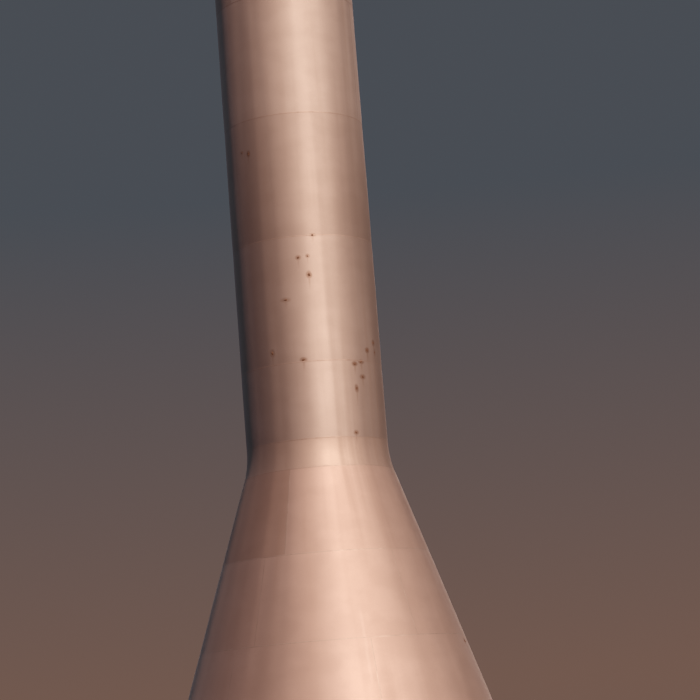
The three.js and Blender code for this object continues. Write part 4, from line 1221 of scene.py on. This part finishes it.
def sun(name, az, el, strength, color, angle):
    """az is measured at the tower from the photograph's side (-Y), to its right."""
    l = bpy.data.lights.new(name, "SUN")
    l.energy, l.color, l.angle = strength, color, rad(angle)
    o = bpy.data.objects.new(name, l)
    scene.collection.objects.link(o)
    d = Vector((math.sin(rad(az)) * math.cos(rad(el)), -math.cos(rad(az)) * math.cos(rad(el)), math.sin(rad(el))))
    o.rotation_euler = d.to_track_quat("Z", "Y").to_euler()
    return o


# The low warm key is two lamps in one place: the paint's broad glow is a little browner than its sheen.
KEY = (24.5, 28)
glow = sun("key_glow", *KEY, 4.4, (1.0, 0.79, 0.71), 6)
glow.visible_glossy = False
sheen = sun("key_sheen", *KEY, 4.25, (1.0, 0.83, 0.775), 6)
sheen.visible_diffuse = False
sun("back_fill", 176, 38, 2.5, (0.80, 0.90, 1.0), 20)
sun("side_fill", -142, 22, 0.14, (0.60, 0.86, 1.0), 30)

world = bpy.data.worlds.new("studio")
scene.world = world
world.use_nodes = True
t = world.node_tree
t.nodes.clear()
out, bg = t.nodes.new("ShaderNodeOutputWorld"), t.nodes.new("ShaderNodeBackground")
tc, sp = t.nodes.new("ShaderNodeTexCoord"), t.nodes.new("ShaderNodeSeparateXYZ")
half = t.nodes.new("ShaderNodeMath"); half.operation = "MULTIPLY_ADD"
half.inputs[1].default_value = half.inputs[2].default_value = 0.5
t.links.new(tc.outputs["Generated"], sp.inputs[0]); t.links.new(sp.outputs[2], half.inputs[0])


def graded(stops):
    """A plain gradient from straight down (0) through level (0.5) to straight up (1)."""
    n = t.nodes.new("ShaderNodeValToRGB")
    t.links.new(half.outputs[0], n.inputs[0])
    e = n.color_ramp.elements
    e[0].position, e[0].color = stops[0][0], (*stops[0][1], 1)
    e[1].position, e[1].color = stops[-1][0], (*stops[-1][1], 1)
    for p, c in stops[1:-1]:
        e.new(p).color = (*c, 1)
    return n.outputs[0]


# plain: a warm grey at the level, fading into slate
backdrop = graded([(0.0, (0.21, 0.22, 0.23)), (0.51, (0.21, 0.22, 0.23)), (0.62, (0.09, 0.18, 0.25)), (1.0, (0.09, 0.18, 0.25))])
ambient = graded([(0.0, (0.060, 0.120, 0.165)), (0.47, (0.090, 0.190, 0.260)), (0.54, (0.125, 0.235, 0.310)), (0.66, (0.085, 0.185, 0.265)), (1.0, (0.080, 0.180, 0.270))])
# the left of the photograph is the darker side of the sky
toward, dim = t.nodes.new("ShaderNodeVectorMath"), t.nodes.new("ShaderNodeMapRange")
toward.operation, dim.interpolation_type = "DOT_PRODUCT", "SMOOTHSTEP"
toward.inputs[1].default_value = (-0.96, 0.28, 0.0)
for i, q in enumerate((0.1, 0.9, 0.0, 1.0)):
    dim.inputs[i + 1].default_value = q
shade = t.nodes.new("ShaderNodeMix"); shade.data_type, shade.blend_type = "RGBA", "MULTIPLY"
t.links.new(tc.outputs["Generated"], toward.inputs[0]); t.links.new(toward.outputs["Value"], dim.inputs[0])
t.links.new(dim.outputs[0], shade.inputs[0]); t.links.new(ambient, shade.inputs[6])
shade.inputs[7].default_value = (0.42, 0.66, 0.88, 1)
ambient = shade.outputs[2]
lp, mx = t.nodes.new("ShaderNodeLightPath"), t.nodes.new("ShaderNodeMix")
mx.data_type = "RGBA"
t.links.new(lp.outputs["Is Camera Ray"], mx.inputs[0]); t.links.new(ambient, mx.inputs[6]); t.links.new(backdrop, mx.inputs[7])
t.links.new(mx.outputs[2], bg.inputs[0]); t.links.new(bg.outputs[0], out.inputs[0])
bg.inputs[1].default_value = 1.0

view = scene.view_settings
view.view_transform, view.look, view.gamma = "Standard", "None", 0.88
# The photograph is a warm old print: its green and blue fall off faster than its red.
view.use_curve_mapping = True
for channel, power in ((1, 1.34), (2, 1.54)):
    curve = view.curve_mapping.curves[channel]
    curve.points[0].location, curve.points[1].location = (0, 0), (1, 1)
    for p in (0.02, 0.06, 0.14, 0.3, 0.6):
        curve.points.new(p, p ** power)
view.curve_mapping.update()
